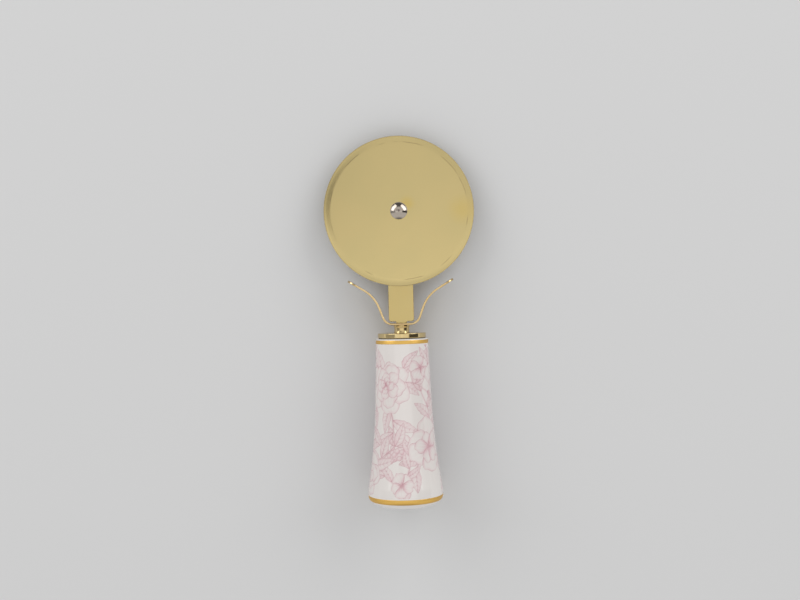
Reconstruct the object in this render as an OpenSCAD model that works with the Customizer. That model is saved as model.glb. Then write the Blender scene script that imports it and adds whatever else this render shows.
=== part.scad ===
// Pizza cutter with a round gold blade and a flared porcelain handle.
// The handle's axis is +Y, its flat foot is at the origin, and the blade faces +Z.

/* [Blade] */
// Diameter of the blade
blade_d = 90; // [70:1:110]
// Thickness of the blade
blade_t = 1.2; // [0.8:0.1:2]
// Width of the ground bevel, on both faces
blade_bevel_w = 3.6; // [1:0.1:8]
// Thickness that is left at the cutting edge
blade_edge_t = 0.3; // [0.1:0.05:0.6]
// Play on each side of the blade, along the axle
blade_play = 0.1; // [0.05:0.01:0.2]

/* [Axle] */
// Diameter of the rivet's shank, on which the blade turns
shank_d = 6; // [4.5:0.1:7]
// Radial running clearance between shank and blade
shank_fit = 0.05; // [0.02:0.01:0.1]
// Diameter of the domed front head
front_head_d = 10.3; // [9:0.1:14]
// Height of the domed front head
front_head_h = 2.6; // [1.5:0.1:3.5]
// Height of the straight rim under each rivet dome
head_rim_h = 0.5; // [0.2:0.1:0.8]
// Diameter of the dimple in the front head
dimple_d = 1.5; // [0.8:0.1:2.5]
// Depth of the dimple in the front head
dimple_depth = 0.25; // [0.1:0.05:0.5]
// Diameter of the rear head
rear_head_d = 10; // [9:0.1:14]
// Height of the rear head
rear_head_h = 1.8; // [1:0.1:2.6]
// Diameter of the rear rivet's pin, inside the shank
pin_d = 3.2; // [2:0.1:3.6]
// Radial clearance of the pin inside the shank
pin_fit = 0.02; // [0.01:0.01:0.05]
// Length of the shank's bore past the end of the pin
pin_end_gap = 0.4; // [0.2:0.1:1]
// Length of the rear rivet's pin
pin_l = 3; // [1.5:0.1:3.4]
// Diameter of the washer between blade and arm
washer_d = 12; // [9:0.1:15]
// Thickness of the washer between blade and arm
washer_t = 0.7; // [0.4:0.1:1.5]

/* [Arm] */
// Width of the flat arm
arm_w = 15.1; // [12:0.1:20]
// Thickness of the flat arm
arm_t = 2; // [1.5:0.1:3]
// Radius of the arm's two shoulder corners
arm_corner_r = 1.5; // [0.8:0.1:2.2]
// Length of arm in sight between its shoulders and the blade's edge
arm_reveal = 21.3; // [16:0.1:40]
// Gap between the arm's shoulders and the guard
shoulder_gap = 0.9; // [0.7:0.1:1.6]
// Width of the seat block, which stands on the guard
seat_w = 6.4; // [5.8:0.1:8]
// Width of the tang, which runs down into the handle
tang_w = 5; // [4:0.1:5.4]
// Length of tang bedded in the handle
tang_bed_l = 30; // [15:0.5:36]
// Radius of the tang's keying notches
notch_r = 0.9; // [0.5:0.1:1.2]
// Spacing of the tang's keying notches
notch_pitch = 8; // [6:0.5:9]

/* [Finger guard] */
// Distance between the guard's two tips
guard_span = 63.7; // [56:0.1:76]
// Width of the guard's strip
guard_w = 12; // [9:0.1:18]
// Thickness of the guard's strip
guard_t = 1.2; // [0.8:0.1:1.6]
// Distance from the arm's sides in to the ends of the guard's flat base
guard_base_inset = 2.2; // [1.5:0.1:3]
// Radius of the guard's lower bends
guard_corner_r = 6; // [5:0.1:8]
// Radius of the bends that turn the wings outwards
guard_flare_r = 21; // [14:0.1:24]
// Straight length of the guard's legs
guard_leg_l = 6.5; // [4:0.1:9]
// Angle of the guard's legs above level
guard_leg_angle = 69.5; // [60:0.1:75]
// Angle of the guard's wings above level
guard_wing_angle = 31.2; // [20:0.1:40]
// Radius of the rounded corners at the guard's tips
guard_tip_r = 4.4; // [2:0.1:4.4]

/* [Neck and collar] */
// Height of the turned neck between guard and collar
neck_h = 4.7; // [3:0.1:9]
// Diameter of the neck's upper rim
neck_rim_d = 9.7; // [9.5:0.1:12]
// Height of the neck's upper rim
neck_rim_h = 1; // [0.5:0.1:1.5]
// Diameter of the neck below its rim
neck_waist_d = 9.3; // [8.5:0.1:9.5]
// Depth of the hollow turned into the neck's waist
neck_hollow = 0.15; // [0.1:0.05:0.5]
// Diameter of the collar plate
collar_d = 29; // [25:0.1:30]
// Thickness of the collar plate
collar_t = 2.9; // [1.5:0.1:5]
// Rounding of the collar plate's edges
collar_edge_r = 0.45; // [0.2:0.05:0.7]
// Length of the collar's spigot inside the handle's mouth
spigot_l = 2; // [1:0.1:3]
// Radial clearance of the spigot in the handle's mouth
spigot_fit = 0.25; // [0.1:0.05:0.5]
// Thickness of the seal under the collar
seal_t = 0.4; // [0.2:0.1:1]
// Distance from the collar's rim to the seal's rim
seal_inset = 0.5; // [0.2:0.1:1]
// Clearance round the tang in guard, neck and collar
slot_fit = 0.1; // [0.05:0.01:0.2]

/* [Handle] */
// Length of the porcelain handle
handle_l = 101; // [90:0.1:120]
// Outer diameter at the handle's mouth
handle_top_d = 31.2; // [30.6:0.1:34]
// Outer diameter where the flare begins
handle_waist_d = 34; // [33:0.1:38]
// Distance from the mouth down to where the flare begins
flare_start = 38; // [30:0.5:50]
// Largest outer diameter, at the heel
handle_max_d = 44.7; // [42:0.1:50]
// Height of the heel's widest line above the foot
heel_h = 7.4; // [6:0.1:10]
// Length over which the flare turns into the heel
heel_blend = 4; // [2:0.1:6]
// Diameter of the flat foot
foot_d = 18; // [12:0.1:26]
// Rounding of the handle's upper lip
lip_r = 0.7; // [0.4:0.1:0.7]
// Diameter of the handle's mouth and socket
mouth_d = 16; // [14:0.1:18]
// Depth of cement under the tang's end
tang_end_cement = 4; // [2:0.5:8]
// Wall of the hollow lower part
wall = 4; // [3:0.1:5]
// Thickness of porcelain over the foot
floor_t = 4.5; // [3.5:0.1:6]
// Thickness of the stopper under the cement
stopper_t = 6; // [3:0.1:8]

/* [Gilt bands] */
// Bare rim between the mouth and the upper gilt band
upper_band_inset = 0.8; // [0.8:0.1:3]
// Width of the upper gilt band
upper_band_w = 2.2; // [0.8:0.1:3]
// Distance of the lower gilt band's lower edge above the foot
lower_band_h = 4.5; // [3.5:0.1:5.5]
// Width of the lower gilt band
lower_band_w = 3.2; // [0.8:0.1:4]
// Thickness of the fired gilding
gilt_t = 0.08; // [0.05:0.01:0.15]

/* [Hidden] */

gold = [0.80, 0.71, 0.46];
bright_gold = [0.85, 0.72, 0.42];
gilt = [0.84, 0.64, 0.25];
porcelain = [0.93, 0.90, 0.89];
steel = [0.80, 0.79, 0.78];
nylon = [0.92, 0.91, 0.86];
grey_rubber = [0.30, 0.30, 0.28];
cement = [0.72, 0.70, 0.66];
cork = [0.70, 0.53, 0.36];

round_steps = 96;
arc_steps = 12;
flare_steps = 24;
overrun = 1;
dome_power = 2.3;
mouth_chamfer = 0.5;
cavity_corner = 4;
cavity_ramp = 6;

// Levels along the handle's axis, from the foot to the blade
collar_y = handle_l + seal_t;
neck_y = collar_y + collar_t;
guard_y = neck_y + neck_h;
seat_y = guard_y + guard_t;
shoulder_y = seat_y + shoulder_gap;
axle_y = shoulder_y + arm_reveal + blade_d / 2;
tang_end_y = handle_l - spigot_l - tang_bed_l;
cement_y = tang_end_y - tang_end_cement;
socket_y = cement_y - stopper_t;
cement_top_y = collar_y - spigot_l;

// Levels along the axle, from the arm to the front head
washer_z = arm_t / 2;
blade_z = washer_z + washer_t + blade_play;
front_head_z = blade_z + blade_t + blade_play;
shank_l = front_head_z + arm_t / 2;
shank_bore_d = pin_d + 2 * pin_fit;

// The handle's outline: a straight taper, a parabola that flares out, and a domed end
top_r = handle_top_d / 2;
waist_r = handle_waist_d / 2;
max_r = handle_max_d / 2;
foot_r = foot_d / 2;
taper = (waist_r - top_r) / flare_start;
blend_y = heel_h + heel_blend;
flare_l = handle_l - flare_start - blend_y;
flare_gain = (max_r - waist_r - taper * flare_l) / pow(flare_l, 2);
dome_h = heel_h / pow(1 - pow(foot_r / max_r, dome_power), 1 / dome_power);

function flare_run(y) = max(0, handle_l - flare_start - y);
function flare_r(y) = top_r + taper * (handle_l - y) + flare_gain * pow(flare_run(y), 2);
function flare_slope(y) = taper + 2 * flare_gain * flare_run(y);
function dome_r(y) = max_r * pow(1 - pow((heel_h - y) / dome_h, dome_power), 1 / dome_power);

// A curve with one control point, from a through b to c
function bend(a, b, c, t) = pow(1 - t, 2) * a + 2 * t * (1 - t) * b + pow(t, 2) * c;
blend_top_y = blend_y + heel_blend / 2;
blend_top_r = flare_r(blend_top_y);
blend_mid_y = blend_top_y - (max_r - blend_top_r) / flare_slope(blend_top_y);

// Points [radius, height] on the outside of the handle, rising from low to high
function dome_points(low, high) =
    [for (i = [0:arc_steps]) let (y = low + (high - low) * i / arc_steps) [dome_r(y), y]];
function flare_points(low, high, steps) =
    [for (i = [0:steps]) let (y = low + (high - low) * i / steps) [flare_r(y), y]];
heel_points = [for (i = [0:arc_steps]) let (t = i / arc_steps)
    [bend(max_r, max_r, blend_top_r, t), bend(heel_h, blend_mid_y, blend_top_y, t)]];

// Points on a quarter circle of radius r round a centre, between two angles
function arc(centre, r, from, to) =
    [for (i = [0:arc_steps]) let (a = from + (to - from) * i / arc_steps)
        centre + r * [cos(a), sin(a)]];

// The lower band ends at the heel's widest line or just above it, so it has up to two stretches
lower_band_top = lower_band_h + lower_band_w;
upper_band_top = handle_l - upper_band_inset;
upper_band_low = upper_band_top - upper_band_w;
function heel_t(y) = heel_share(y, 0, 1, arc_steps);
function heel_share(y, low, high, n) =
    let (mid = (low + high) / 2)
    n == 0 ? mid
    : bend(heel_h, blend_mid_y, blend_top_y, mid) < y ? heel_share(y, mid, high, n - 1)
    : heel_share(y, low, mid, n - 1);
function heel_point(t) = [bend(max_r, max_r, blend_top_r, t), bend(heel_h, blend_mid_y, blend_top_y, t)];

band_reaches_heel = lower_band_top > heel_h;
band_dome_top = min(lower_band_top, heel_h);
band_heel_end = heel_point(heel_t(lower_band_top));
lower_band_points = concat(
    dome_points(lower_band_h, band_dome_top),
    band_reaches_heel ? [for (p = heel_points) if (p[1] > heel_h && p[1] < band_heel_end[1]) p] : [],
    band_reaches_heel ? [band_heel_end] : []);
upper_band_points = flare_points(upper_band_low, upper_band_top, 1);

// Turns a shape made along +Z so that it lies along the handle's axis, +Y
module along_handle() {
    rotate([-90, 0, 0]) children();
}

// A shape turned about the handle's axis from points [radius, height]
module turned(points) {
    along_handle() rotate_extrude($fn = round_steps) polygon(points);
}

// The slot that the tang passes through, along the handle's axis
module tang_slot(low, high) {
    slot_w = tang_w + 2 * slot_fit;
    slot_t = arm_t + 2 * slot_fit;
    translate([-slot_w / 2, low, -slot_t / 2]) cube([slot_w, high - low, slot_t]);
}

// A ring of gilding: the handle's own outline on its inside, and the same outline moved out
module gilt_band(points) {
    color(gilt) turned(concat(points, [for (i = [len(points) - 1:-1:0]) points[i] + [gilt_t, 0]]));
}

module blade() {
    r = blade_d / 2;
    bore_r = shank_d / 2 + shank_fit;
    edge_z = (blade_t - blade_edge_t) / 2;
    color(gold) translate([0, axle_y, blade_z]) rotate_extrude($fn = round_steps) polygon([
        [bore_r, 0], [r - blade_bevel_w, 0], [r, edge_z],
        [r, edge_z + blade_edge_t], [r - blade_bevel_w, blade_t], [bore_r, blade_t]]);
}

module blade_washer() {
    color(nylon) translate([0, axle_y, washer_z]) difference() {
        cylinder(h = washer_t, d = washer_d, $fn = round_steps);
        translate([0, 0, -overrun])
            cylinder(h = washer_t + 2 * overrun, r = shank_d / 2 + shank_fit, $fn = round_steps);
    }
}

// A rivet dome over its straight rim, as points [radius, height] from the rim's foot to the pole
function rivet_dome(head_r, head_h, pole_r) =
    let (cap_h = head_h - head_rim_h,
         ball_r = (pow(head_r, 2) + pow(cap_h, 2)) / (2 * cap_h),
         from = acos(head_r / ball_r),
         to = acos(pole_r / ball_r))
    concat([[head_r, 0]], arc([0, head_h - ball_r], ball_r, from, to));

module front_rivet() {
    head_r = front_head_d / 2;
    bore_l = pin_l + pin_end_gap;
    pole_points = rivet_dome(head_r, front_head_h, dimple_d / 2);
    pole_h = pole_points[len(pole_points) - 1][1];
    color(steel) translate([0, axle_y, front_head_z]) rotate_extrude($fn = round_steps) polygon(concat(
        [[shank_bore_d / 2, -shank_l], [shank_d / 2, -shank_l], [shank_d / 2, 0]],
        pole_points,
        [[0, pole_h - dimple_depth], [0, bore_l - shank_l], [shank_bore_d / 2, bore_l - shank_l]]));
}

module rear_rivet() {
    color(steel) translate([0, axle_y, -arm_t / 2]) rotate([180, 0, 0])
        rotate_extrude($fn = round_steps) polygon(concat(
            [[0, -pin_l], [pin_d / 2, -pin_l], [pin_d / 2, 0]],
            rivet_dome(rear_head_d / 2, rear_head_h, 0)));
}

module tang_outline() {
    translate([-tang_w / 2, tang_end_y]) difference() {
        square([tang_w, seat_y - tang_end_y]);
        for (x = [0, tang_w], y = [notch_pitch / 2:notch_pitch:tang_bed_l - 2 * notch_r])
            translate([x, y]) circle(notch_r, $fn = round_steps);
    }
}

module arm_outline() {
    half_w = arm_w / 2;
    corner_y = shoulder_y + arm_corner_r;
    translate([0, axle_y]) circle(half_w, $fn = round_steps);
    translate([-half_w, corner_y]) square([arm_w, axle_y - corner_y]);
    for (side = [-1, 1])
        translate([side * (half_w - arm_corner_r), corner_y]) circle(arm_corner_r, $fn = round_steps);
    translate([arm_corner_r - half_w, shoulder_y]) square([arm_w - 2 * arm_corner_r, arm_corner_r]);
    translate([-seat_w / 2, seat_y]) square([seat_w, shoulder_gap]);
    tang_outline();
}

module arm() {
    color(gold) difference() {
        linear_extrude(arm_t, center = true) arm_outline();
        translate([0, axle_y, -arm_t / 2 - overrun])
            cylinder(h = arm_t + 2 * overrun, r = shank_d / 2 + shank_fit, $fn = round_steps);
    }
}

// The right half of the guard's middle line, as [x, y, heading]: flat base, bend, leg, bend, wing
base_x = arm_w / 2 - guard_base_inset;
leg_start = [base_x, 0] + guard_corner_r * [sin(guard_leg_angle), 1 - cos(guard_leg_angle)];
leg_end = leg_start + guard_leg_l * [cos(guard_leg_angle), sin(guard_leg_angle)];
flare_centre = leg_end + guard_flare_r * [sin(guard_leg_angle), -cos(guard_leg_angle)];
wing_start = flare_centre + guard_flare_r * [-sin(guard_wing_angle), cos(guard_wing_angle)];
wing_l = (guard_span / 2 - wing_start[0]) / cos(guard_wing_angle);
wing_end = wing_start + wing_l * [cos(guard_wing_angle), sin(guard_wing_angle)];
guard_line = concat(
    [for (i = [0:arc_steps]) let (a = guard_leg_angle * i / arc_steps)
        [base_x + guard_corner_r * sin(a), guard_corner_r * (1 - cos(a)), a]],
    [for (i = [0:arc_steps]) let (a = guard_leg_angle + (guard_wing_angle - guard_leg_angle) * i / arc_steps)
        [flare_centre[0] - guard_flare_r * sin(a), flare_centre[1] + guard_flare_r * cos(a), a]],
    [[wing_end[0], wing_end[1], guard_wing_angle]]);

// The guard's middle line moved sideways by a signed distance
function guard_side(shift) = [for (p = guard_line) [p[0] - shift * sin(p[2]), p[1] + shift * cos(p[2])]];
function mirrored(points) = [for (i = [len(points) - 1:-1:0]) [-points[i][0], points[i][1]]];
function reversed(points) = [for (i = [len(points) - 1:-1:0]) points[i]];

// The guard seen along the handle's axis: a long plate with round corners
module guard_plan() {
    tip_x = guard_span / 2;
    corner_x = tip_x - guard_tip_r;
    corner_z = guard_w / 2 - guard_tip_r;
    square([2 * corner_x, guard_w], center = true);
    square([2 * tip_x, 2 * corner_z], center = true);
    for (x = [-corner_x, corner_x], z = [-corner_z, corner_z])
        translate([x, z]) circle(guard_tip_r, $fn = round_steps);
}

module finger_guard() {
    lower = guard_side(-guard_t / 2);
    upper = guard_side(guard_t / 2);
    color(bright_gold) difference() {
        intersection() {
            translate([0, guard_y + guard_t / 2, 0]) linear_extrude(guard_w, center = true)
                polygon(concat(mirrored(lower), lower, reversed(upper), reversed(mirrored(upper))));
            translate([0, guard_y - overrun, 0]) along_handle()
                linear_extrude(wing_end[1] + 2 * guard_t + 2 * overrun) guard_plan();
        }
        tang_slot(guard_y - overrun, seat_y + overrun);
    }
}

module neck_spool() {
    rim_r = neck_rim_d / 2;
    waist = neck_waist_d / 2;
    waist_h = neck_h - neck_rim_h;
    waist_points = [for (i = [0:arc_steps]) let (s = i / arc_steps)
        [waist - neck_hollow * 4 * s * (1 - s), waist_h * s]];
    color(bright_gold) difference() {
        translate([0, neck_y, 0]) turned(concat(
            [[0, 0]], waist_points, [[rim_r, waist_h], [rim_r, neck_h], [0, neck_h]]));
        tang_slot(neck_y - overrun, guard_y + overrun);
    }
}

module collar_plate() {
    r = collar_d / 2;
    spigot_r = mouth_d / 2 - spigot_fit;
    edge_x = r - collar_edge_r;
    color(bright_gold) difference() {
        translate([0, collar_y, 0]) turned(concat(
            [[0, -spigot_l], [spigot_r, -spigot_l], [spigot_r, 0]],
            arc([edge_x, collar_edge_r], collar_edge_r, -90, 0),
            arc([edge_x, collar_t - collar_edge_r], collar_edge_r, 0, 90),
            [[0, collar_t]]));
        tang_slot(collar_y - spigot_l - overrun, neck_y + overrun);
    }
}

module collar_seal() {
    inner_r = mouth_d / 2 + mouth_chamfer;
    outer_r = collar_d / 2 - seal_inset;
    color(grey_rubber) translate([0, handle_l, 0])
        turned([[inner_r, 0], [outer_r, 0], [outer_r, seal_t], [inner_r, seal_t]]);
}

module handle() {
    mouth_r = mouth_d / 2;
    lip_y = handle_l - lip_r;
    cavity_r = max_r - wall;
    cavity_low = floor_t + cavity_corner;
    cavity_high = socket_y - cavity_ramp;
    outside = concat(
        dome_points(0, lower_band_h),
        lower_band_points,
        [for (p = heel_points) if (p[1] > max(lower_band_top, heel_h)) p],
        flare_points(blend_top_y, upper_band_low, flare_steps),
        [[flare_r(upper_band_top), upper_band_top]],
        arc([flare_r(lip_y) - lip_r, lip_y], lip_r, 0, 90));
    inside = concat(
        [[mouth_r + mouth_chamfer, handle_l], [mouth_r, handle_l - mouth_chamfer], [mouth_r, socket_y]],
        [for (i = [0:arc_steps]) let (y = cavity_high + (cavity_low - cavity_high) * i / arc_steps)
            [min(flare_r(y), max_r) - wall, y]],
        arc([cavity_r - cavity_corner, cavity_low], cavity_corner, 0, -90),
        [[0, floor_t], [0, 0]]);
    color(porcelain) turned(concat(outside, inside));
}

module upper_gilt_band() {
    gilt_band(upper_band_points);
}

module lower_gilt_band() {
    gilt_band(lower_band_points);
}

module bonding_cement() {
    color(cement) difference() {
        translate([0, cement_y, 0]) along_handle()
            cylinder(h = cement_top_y - cement_y, d = mouth_d, $fn = round_steps);
        linear_extrude(arm_t, center = true) tang_outline();
    }
}

module socket_stopper() {
    color(cork) translate([0, socket_y, 0]) along_handle()
        cylinder(h = stopper_t, d = mouth_d, $fn = round_steps);
}

blade();
blade_washer();
front_rivet();
rear_rivet();
arm();
finger_guard();
neck_spool();
collar_plate();
collar_seal();
handle();
upper_gilt_band();
lower_gilt_band();
bonding_cement();
socket_stopper();
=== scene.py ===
"""The looks of a pizza cutter with a satin gold blade and a porcelain handle, built round its frame."""

import math

import bpy
import numpy as np
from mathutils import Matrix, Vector


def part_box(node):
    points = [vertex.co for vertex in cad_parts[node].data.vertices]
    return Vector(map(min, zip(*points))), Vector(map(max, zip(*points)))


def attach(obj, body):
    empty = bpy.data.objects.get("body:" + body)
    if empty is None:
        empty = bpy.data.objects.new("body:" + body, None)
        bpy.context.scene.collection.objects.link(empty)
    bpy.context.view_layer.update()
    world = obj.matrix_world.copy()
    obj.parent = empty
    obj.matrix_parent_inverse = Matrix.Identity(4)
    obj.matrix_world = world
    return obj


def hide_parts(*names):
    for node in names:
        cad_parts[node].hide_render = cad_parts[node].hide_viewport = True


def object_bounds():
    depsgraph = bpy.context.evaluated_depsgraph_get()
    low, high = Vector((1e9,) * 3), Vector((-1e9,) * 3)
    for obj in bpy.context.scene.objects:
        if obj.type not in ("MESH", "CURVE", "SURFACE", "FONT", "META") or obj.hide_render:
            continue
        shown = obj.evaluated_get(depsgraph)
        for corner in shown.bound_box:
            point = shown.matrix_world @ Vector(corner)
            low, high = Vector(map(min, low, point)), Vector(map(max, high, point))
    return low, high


bl_info = {
    "name": "Porcelain pizza cutter",
    "version": (1, 0, 0),
    "blender": (4, 5, 0),
    "location": "View3D > Sidebar > Pizza Cutter",
    "description": "Makes the visible pieces of a pizza cutter round its frame",
    "category": "Mesh",
}

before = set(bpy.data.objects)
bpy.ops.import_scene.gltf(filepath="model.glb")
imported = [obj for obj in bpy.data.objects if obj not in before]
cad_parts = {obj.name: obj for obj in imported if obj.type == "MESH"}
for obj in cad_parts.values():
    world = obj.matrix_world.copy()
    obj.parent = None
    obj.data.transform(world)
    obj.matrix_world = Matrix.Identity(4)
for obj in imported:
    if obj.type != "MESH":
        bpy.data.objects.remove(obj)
CAD_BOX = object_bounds()

MM = 0.001
TURN = 2 * math.pi
QUARTER = math.pi / 2
TINY = 1e-9
FIXED = "frame"
TURNING = "wheel"


def span(node):
    """A node's lowest and highest corners as arrays of metres."""
    return tuple(np.array(corner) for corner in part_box(node))


BLADE_LOW, BLADE_HIGH = span("blade")
AXLE = (BLADE_LOW + BLADE_HIGH) / 2
HANDLE_TOP = span("handle")[1][1]
COLLAR_LOW, COLLAR_HIGH = span("collar_plate")
NECK_LOW, NECK_HIGH = span("neck_spool")
GUARD_LOW, GUARD_HIGH = span("finger_guard")
ARM_LOW, ARM_HIGH = span("arm")
REAR_LOW, REAR_HIGH = span("rear_rivet")
FRONT_HIGH = span("front_rivet")[1]

# Points along curved stretches of outlines
SOFT_POINTS = 6
DOME_POINTS = 42
DIMPLE_POINTS = 11
NOTCH_POINTS = 11
CROWN_POINTS = 33
BEND_POINTS = 20
LEG_POINTS = 5
FLARE_POINTS = 18
WING_POINTS = 6
TIP_POINTS = 15
WAIST_POINTS = 25
LIP_POINTS = 7
HEEL_POINTS = 22
HOLLOW_POINTS = 9
BAND_POINTS = 41


def length(name, text, value):
    """A length property in metres, whose default is written in millimetres."""
    return bpy.props.FloatProperty(name=name, description=text, default=value * MM, min=0, precision=5,
                                   unit="LENGTH", subtype="DISTANCE")


def colour(name, text, value):
    """A colour property in linear red, green and blue."""
    return bpy.props.FloatVectorProperty(name=name, description=text, default=value, min=0, max=1, size=3,
                                         subtype="COLOR")


def number(name, text, value):
    """A plain number."""
    return bpy.props.FloatProperty(name=name, description=text, default=value, min=0)


def angle(name, text, degrees):
    """An angle property, whose default is written in degrees."""
    return bpy.props.FloatProperty(name=name, description=text, default=math.radians(degrees),
                                   unit="ROTATION", subtype="ANGLE")


def count(name, text, value):
    """A whole number of steps."""
    return bpy.props.IntProperty(name=name, description=text, default=value, min=3)


class BladeSettings(bpy.types.PropertyGroup):
    """Sizes of the blade and the two halves of its rivet."""

    bevel: length("Bevel", "Width of the ground bevel", 3.6)
    bow: length("Bow", "Height of the bevel's bow above a straight bevel", 0.05)
    bow_place: length("Bow place", "Distance of the bow from the rim", 1.7)
    blend: length("Blend", "Radius of the soft bends where the bevel starts and bows", 18.0)
    edge: length("Edge", "Thickness left at the cutting edge", 0.3)
    bore: length("Bore", "Radius of the hole in the blade", 3.05)
    play: length("Play", "Play between the blade and the rivet's head", 0.1)
    softening: length("Softening", "Rounding of the blade's edges", 0.05)
    shank: length("Shank", "Radius of the rivet's shank", 3.0)
    pin: length("Pin", "Radius of the pin inside the shank", 1.6)
    pin_fit: length("Pin fit", "Clearance of the pin inside the shank", 0.02)
    pin_lead: length("Pin lead", "Rounding of the pin's end", 0.2)
    pin_gap: length("Pin gap", "Length of the shank's bore past the pin", 0.4)
    head: length("Head", "Height of the front head", 2.6)
    head_rim: length("Head rim", "Straight rim under each rivet dome", 0.5)
    head_edge: length("Head edge", "Rounding of the rivet heads' edges", 0.14)
    dimple: length("Dimple", "Radius of the dimple in the front head", 0.75)
    dimple_depth: length("Dimple depth", "Depth of the dimple in the front head", 0.25)
    stain_across: length("Stain across", "Place of the warm lacquer to the right of the axle", 5.0)
    stain_along: length("Stain along", "Place of the warm lacquer above the axle", 4.4)
    stain_reach: length("Stain reach", "How far the warm lacquer fades out", 7.5)
    patch_across: length("Patch across", "Place of a second warm patch to the right of the axle", 38.0)
    patch_reach: length("Patch reach", "How far that patch fades out", 13.0)
    stain: number("Stain", "Warm lacquer beside the rivet: depth", 0.6)
    patch: number("Patch", "Warm patch near the rim: depth", 0.4)
    ragged: length("Ragged edge", "Raggedness of the warm lacquer's edge", 3.0)
    line: number("Line", "Lacquer line: depth", 0.8)
    line_edge: length("Line edge", "Lacquer line: half its width", 0.34)
    line_core: length("Line core", "Lacquer line: half its dark core", 0.06)
    wander: length("Wander", "Lacquer line: how far it wanders", 1.2)
    # worn_and_shaded darkens the outermost rim: partly worn coating, partly painted shade for the shadow
    # along the cutting edge
    worn_and_shaded: number("Worn edge", "Worn edge: depth", 0.55)
    worn_and_shaded_reach: length("Worn reach", "Worn edge: width", 0.55)
    worn_and_shaded_full: length("Worn full", "Worn edge: fully worn width", 0.1)
    steps: count("Steps", "Steps round the blade", 512)
    rivet_steps: count("Rivet steps", "Steps round the rivet", 160)


class ArmSettings(bpy.types.PropertyGroup):
    """Sizes of the flat arm and its tang."""

    corner: length("Corner", "Radius of the two shoulder corners", 1.5)
    seat_width: length("Seat width", "Width of the block that stands on the guard", 6.4)
    seat_height: length("Seat height", "Height of that block above the guard", 0.9)
    tang_width: length("Tang width", "Width of the tang", 5.0)
    notch: length("Notch", "Radius of the tang's keying notches", 0.9)
    notch_pitch: length("Notch pitch", "Spacing of the keying notches", 8.0)
    notch_stretch: length("Notch stretch", "Length of tang that carries notches", 28.2)
    toe: length("Toe", "Rounding of the tang's end in outline", 0.308)
    inside_corner: length("Inside corner", "Rounding between tang and block in outline", 0.11)
    seat_corner: length("Seat corner", "Rounding of the block's corners in outline", 0.264)
    softening: length("Softening", "Rounding of the arm's edges", 0.22)
    hole_steps: count("Hole steps", "Steps round the rivet's hole", 64)


class GuardSettings(bpy.types.PropertyGroup):
    """Sizes of the finger guard's bent strip."""

    thickness: length("Thickness", "Thickness of the strip", 1.2)
    flat: length("Flat", "Half the flat base, up to the first bend", 5.35)
    bend: length("Bend", "Radius of the lower bends", 6.0)
    flare: length("Flare", "Radius of the bends that turn the wings outwards", 21.0)
    leg: length("Leg", "Straight length of each leg", 6.5)
    leg_angle: angle("Leg angle", "Angle of the legs above level", 69.5)
    wing_angle: angle("Wing angle", "Angle of the wings above level", 31.2)
    tip: length("Tip", "Radius of the tips' rounded corners", 4.4)
    slot_width: length("Slot width", "Width of the slot for the tang", 5.2)
    slot_depth: length("Slot depth", "Depth of the slot from front to back", 2.2)
    softening: length("Softening", "Rounding of the strip's edges", 0.28)


class CollarSettings(bpy.types.PropertyGroup):
    """Sizes of the turned neck and the collar plate."""

    spigot: length("Spigot", "Radius of the spigot inside the handle's mouth", 7.75)
    spigot_length: length("Spigot length", "Length of that spigot", 2.0)
    edge: length("Edge", "Rounding of the collar plate's edges", 0.45)
    waist: length("Waist", "Radius of the neck below its rim", 4.65)
    rim_height: length("Rim height", "Height of the neck's upper rim", 1.0)
    hollow: length("Hollow", "Depth of the hollow turned into the neck", 0.15)
    softening: length("Softening", "Rounding of the neck's edges", 0.16)
    steps: count("Steps", "Steps round the neck and collar", 192)


class HandleSettings(bpy.types.PropertyGroup):
    """Sizes of the porcelain handle and its gilding."""

    top: length("Top", "Radius at the mouth", 15.6)
    waist: length("Waist", "Radius where the flare begins", 17.0)
    flare_start: length("Flare start", "Distance from the mouth down to the flare", 38.0)
    heel: length("Heel", "Largest radius, at the heel", 22.35)
    heel_height: length("Heel height", "Height of the widest line above the foot", 7.4)
    heel_blend: length("Heel blend", "Length over which the flare turns into the heel", 4.0)
    foot: length("Foot", "Radius of the flat foot", 9.0)
    dome_power: number("Dome power", "Power of the domed end's superellipse", 2.3)
    lip: length("Lip", "Rounding of the upper lip", 0.7)
    mouth: length("Mouth", "Radius of the mouth and socket", 8.0)
    chamfer: length("Chamfer", "Chamfer at the mouth", 0.5)
    socket: length("Socket", "Depth of the straight socket", 42.0)
    ramp: length("Ramp", "Length over which the socket widens", 6.0)
    wall: length("Wall", "Wall of the hollow lower part", 4.0)
    floor: length("Floor", "Porcelain over the foot", 4.5)
    gilding: length("Gilding", "Thickness of the fired gilding", 0.08)
    columns: count("Columns", "Steps round the handle", 336)
    rows: count("Rows", "Steps along the printed stretch", 246)


class PrintSettings(bpy.types.PropertyGroup):
    """The pink line print under the glaze."""

    line: length("Line", "Half the width of a drawn outline", 0.17)
    fine: length("Fine line", "Half the width of a vein or a ray", 0.15)
    soft: length("Softness", "Width over which a line's edge fades", 0.15)
    shade: length("Shade", "Width of the soft shading inside an outline", 1.3)
    margin: length("Margin", "Bare glaze between print and gilding", 0.7)
    ink: colour("Ink", "Colour of the lines", (0.48, 0.262, 0.29))
    tint: colour("Tint", "Colour of the washes", (0.65, 0.455, 0.48))
    glaze: colour("Glaze", "Colour of the bare porcelain", (0.70, 0.667, 0.637))
    biscuit: colour("Biscuit", "Unglazed foot", (0.66, 0.63, 0.59))
    biscuit_pale: colour("Biscuit, pale", "Unglazed foot, paler specks", (0.75, 0.72, 0.68))
    foot_line: length("Foot line", "Height up to which the foot is unglazed", 0.12)


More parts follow.
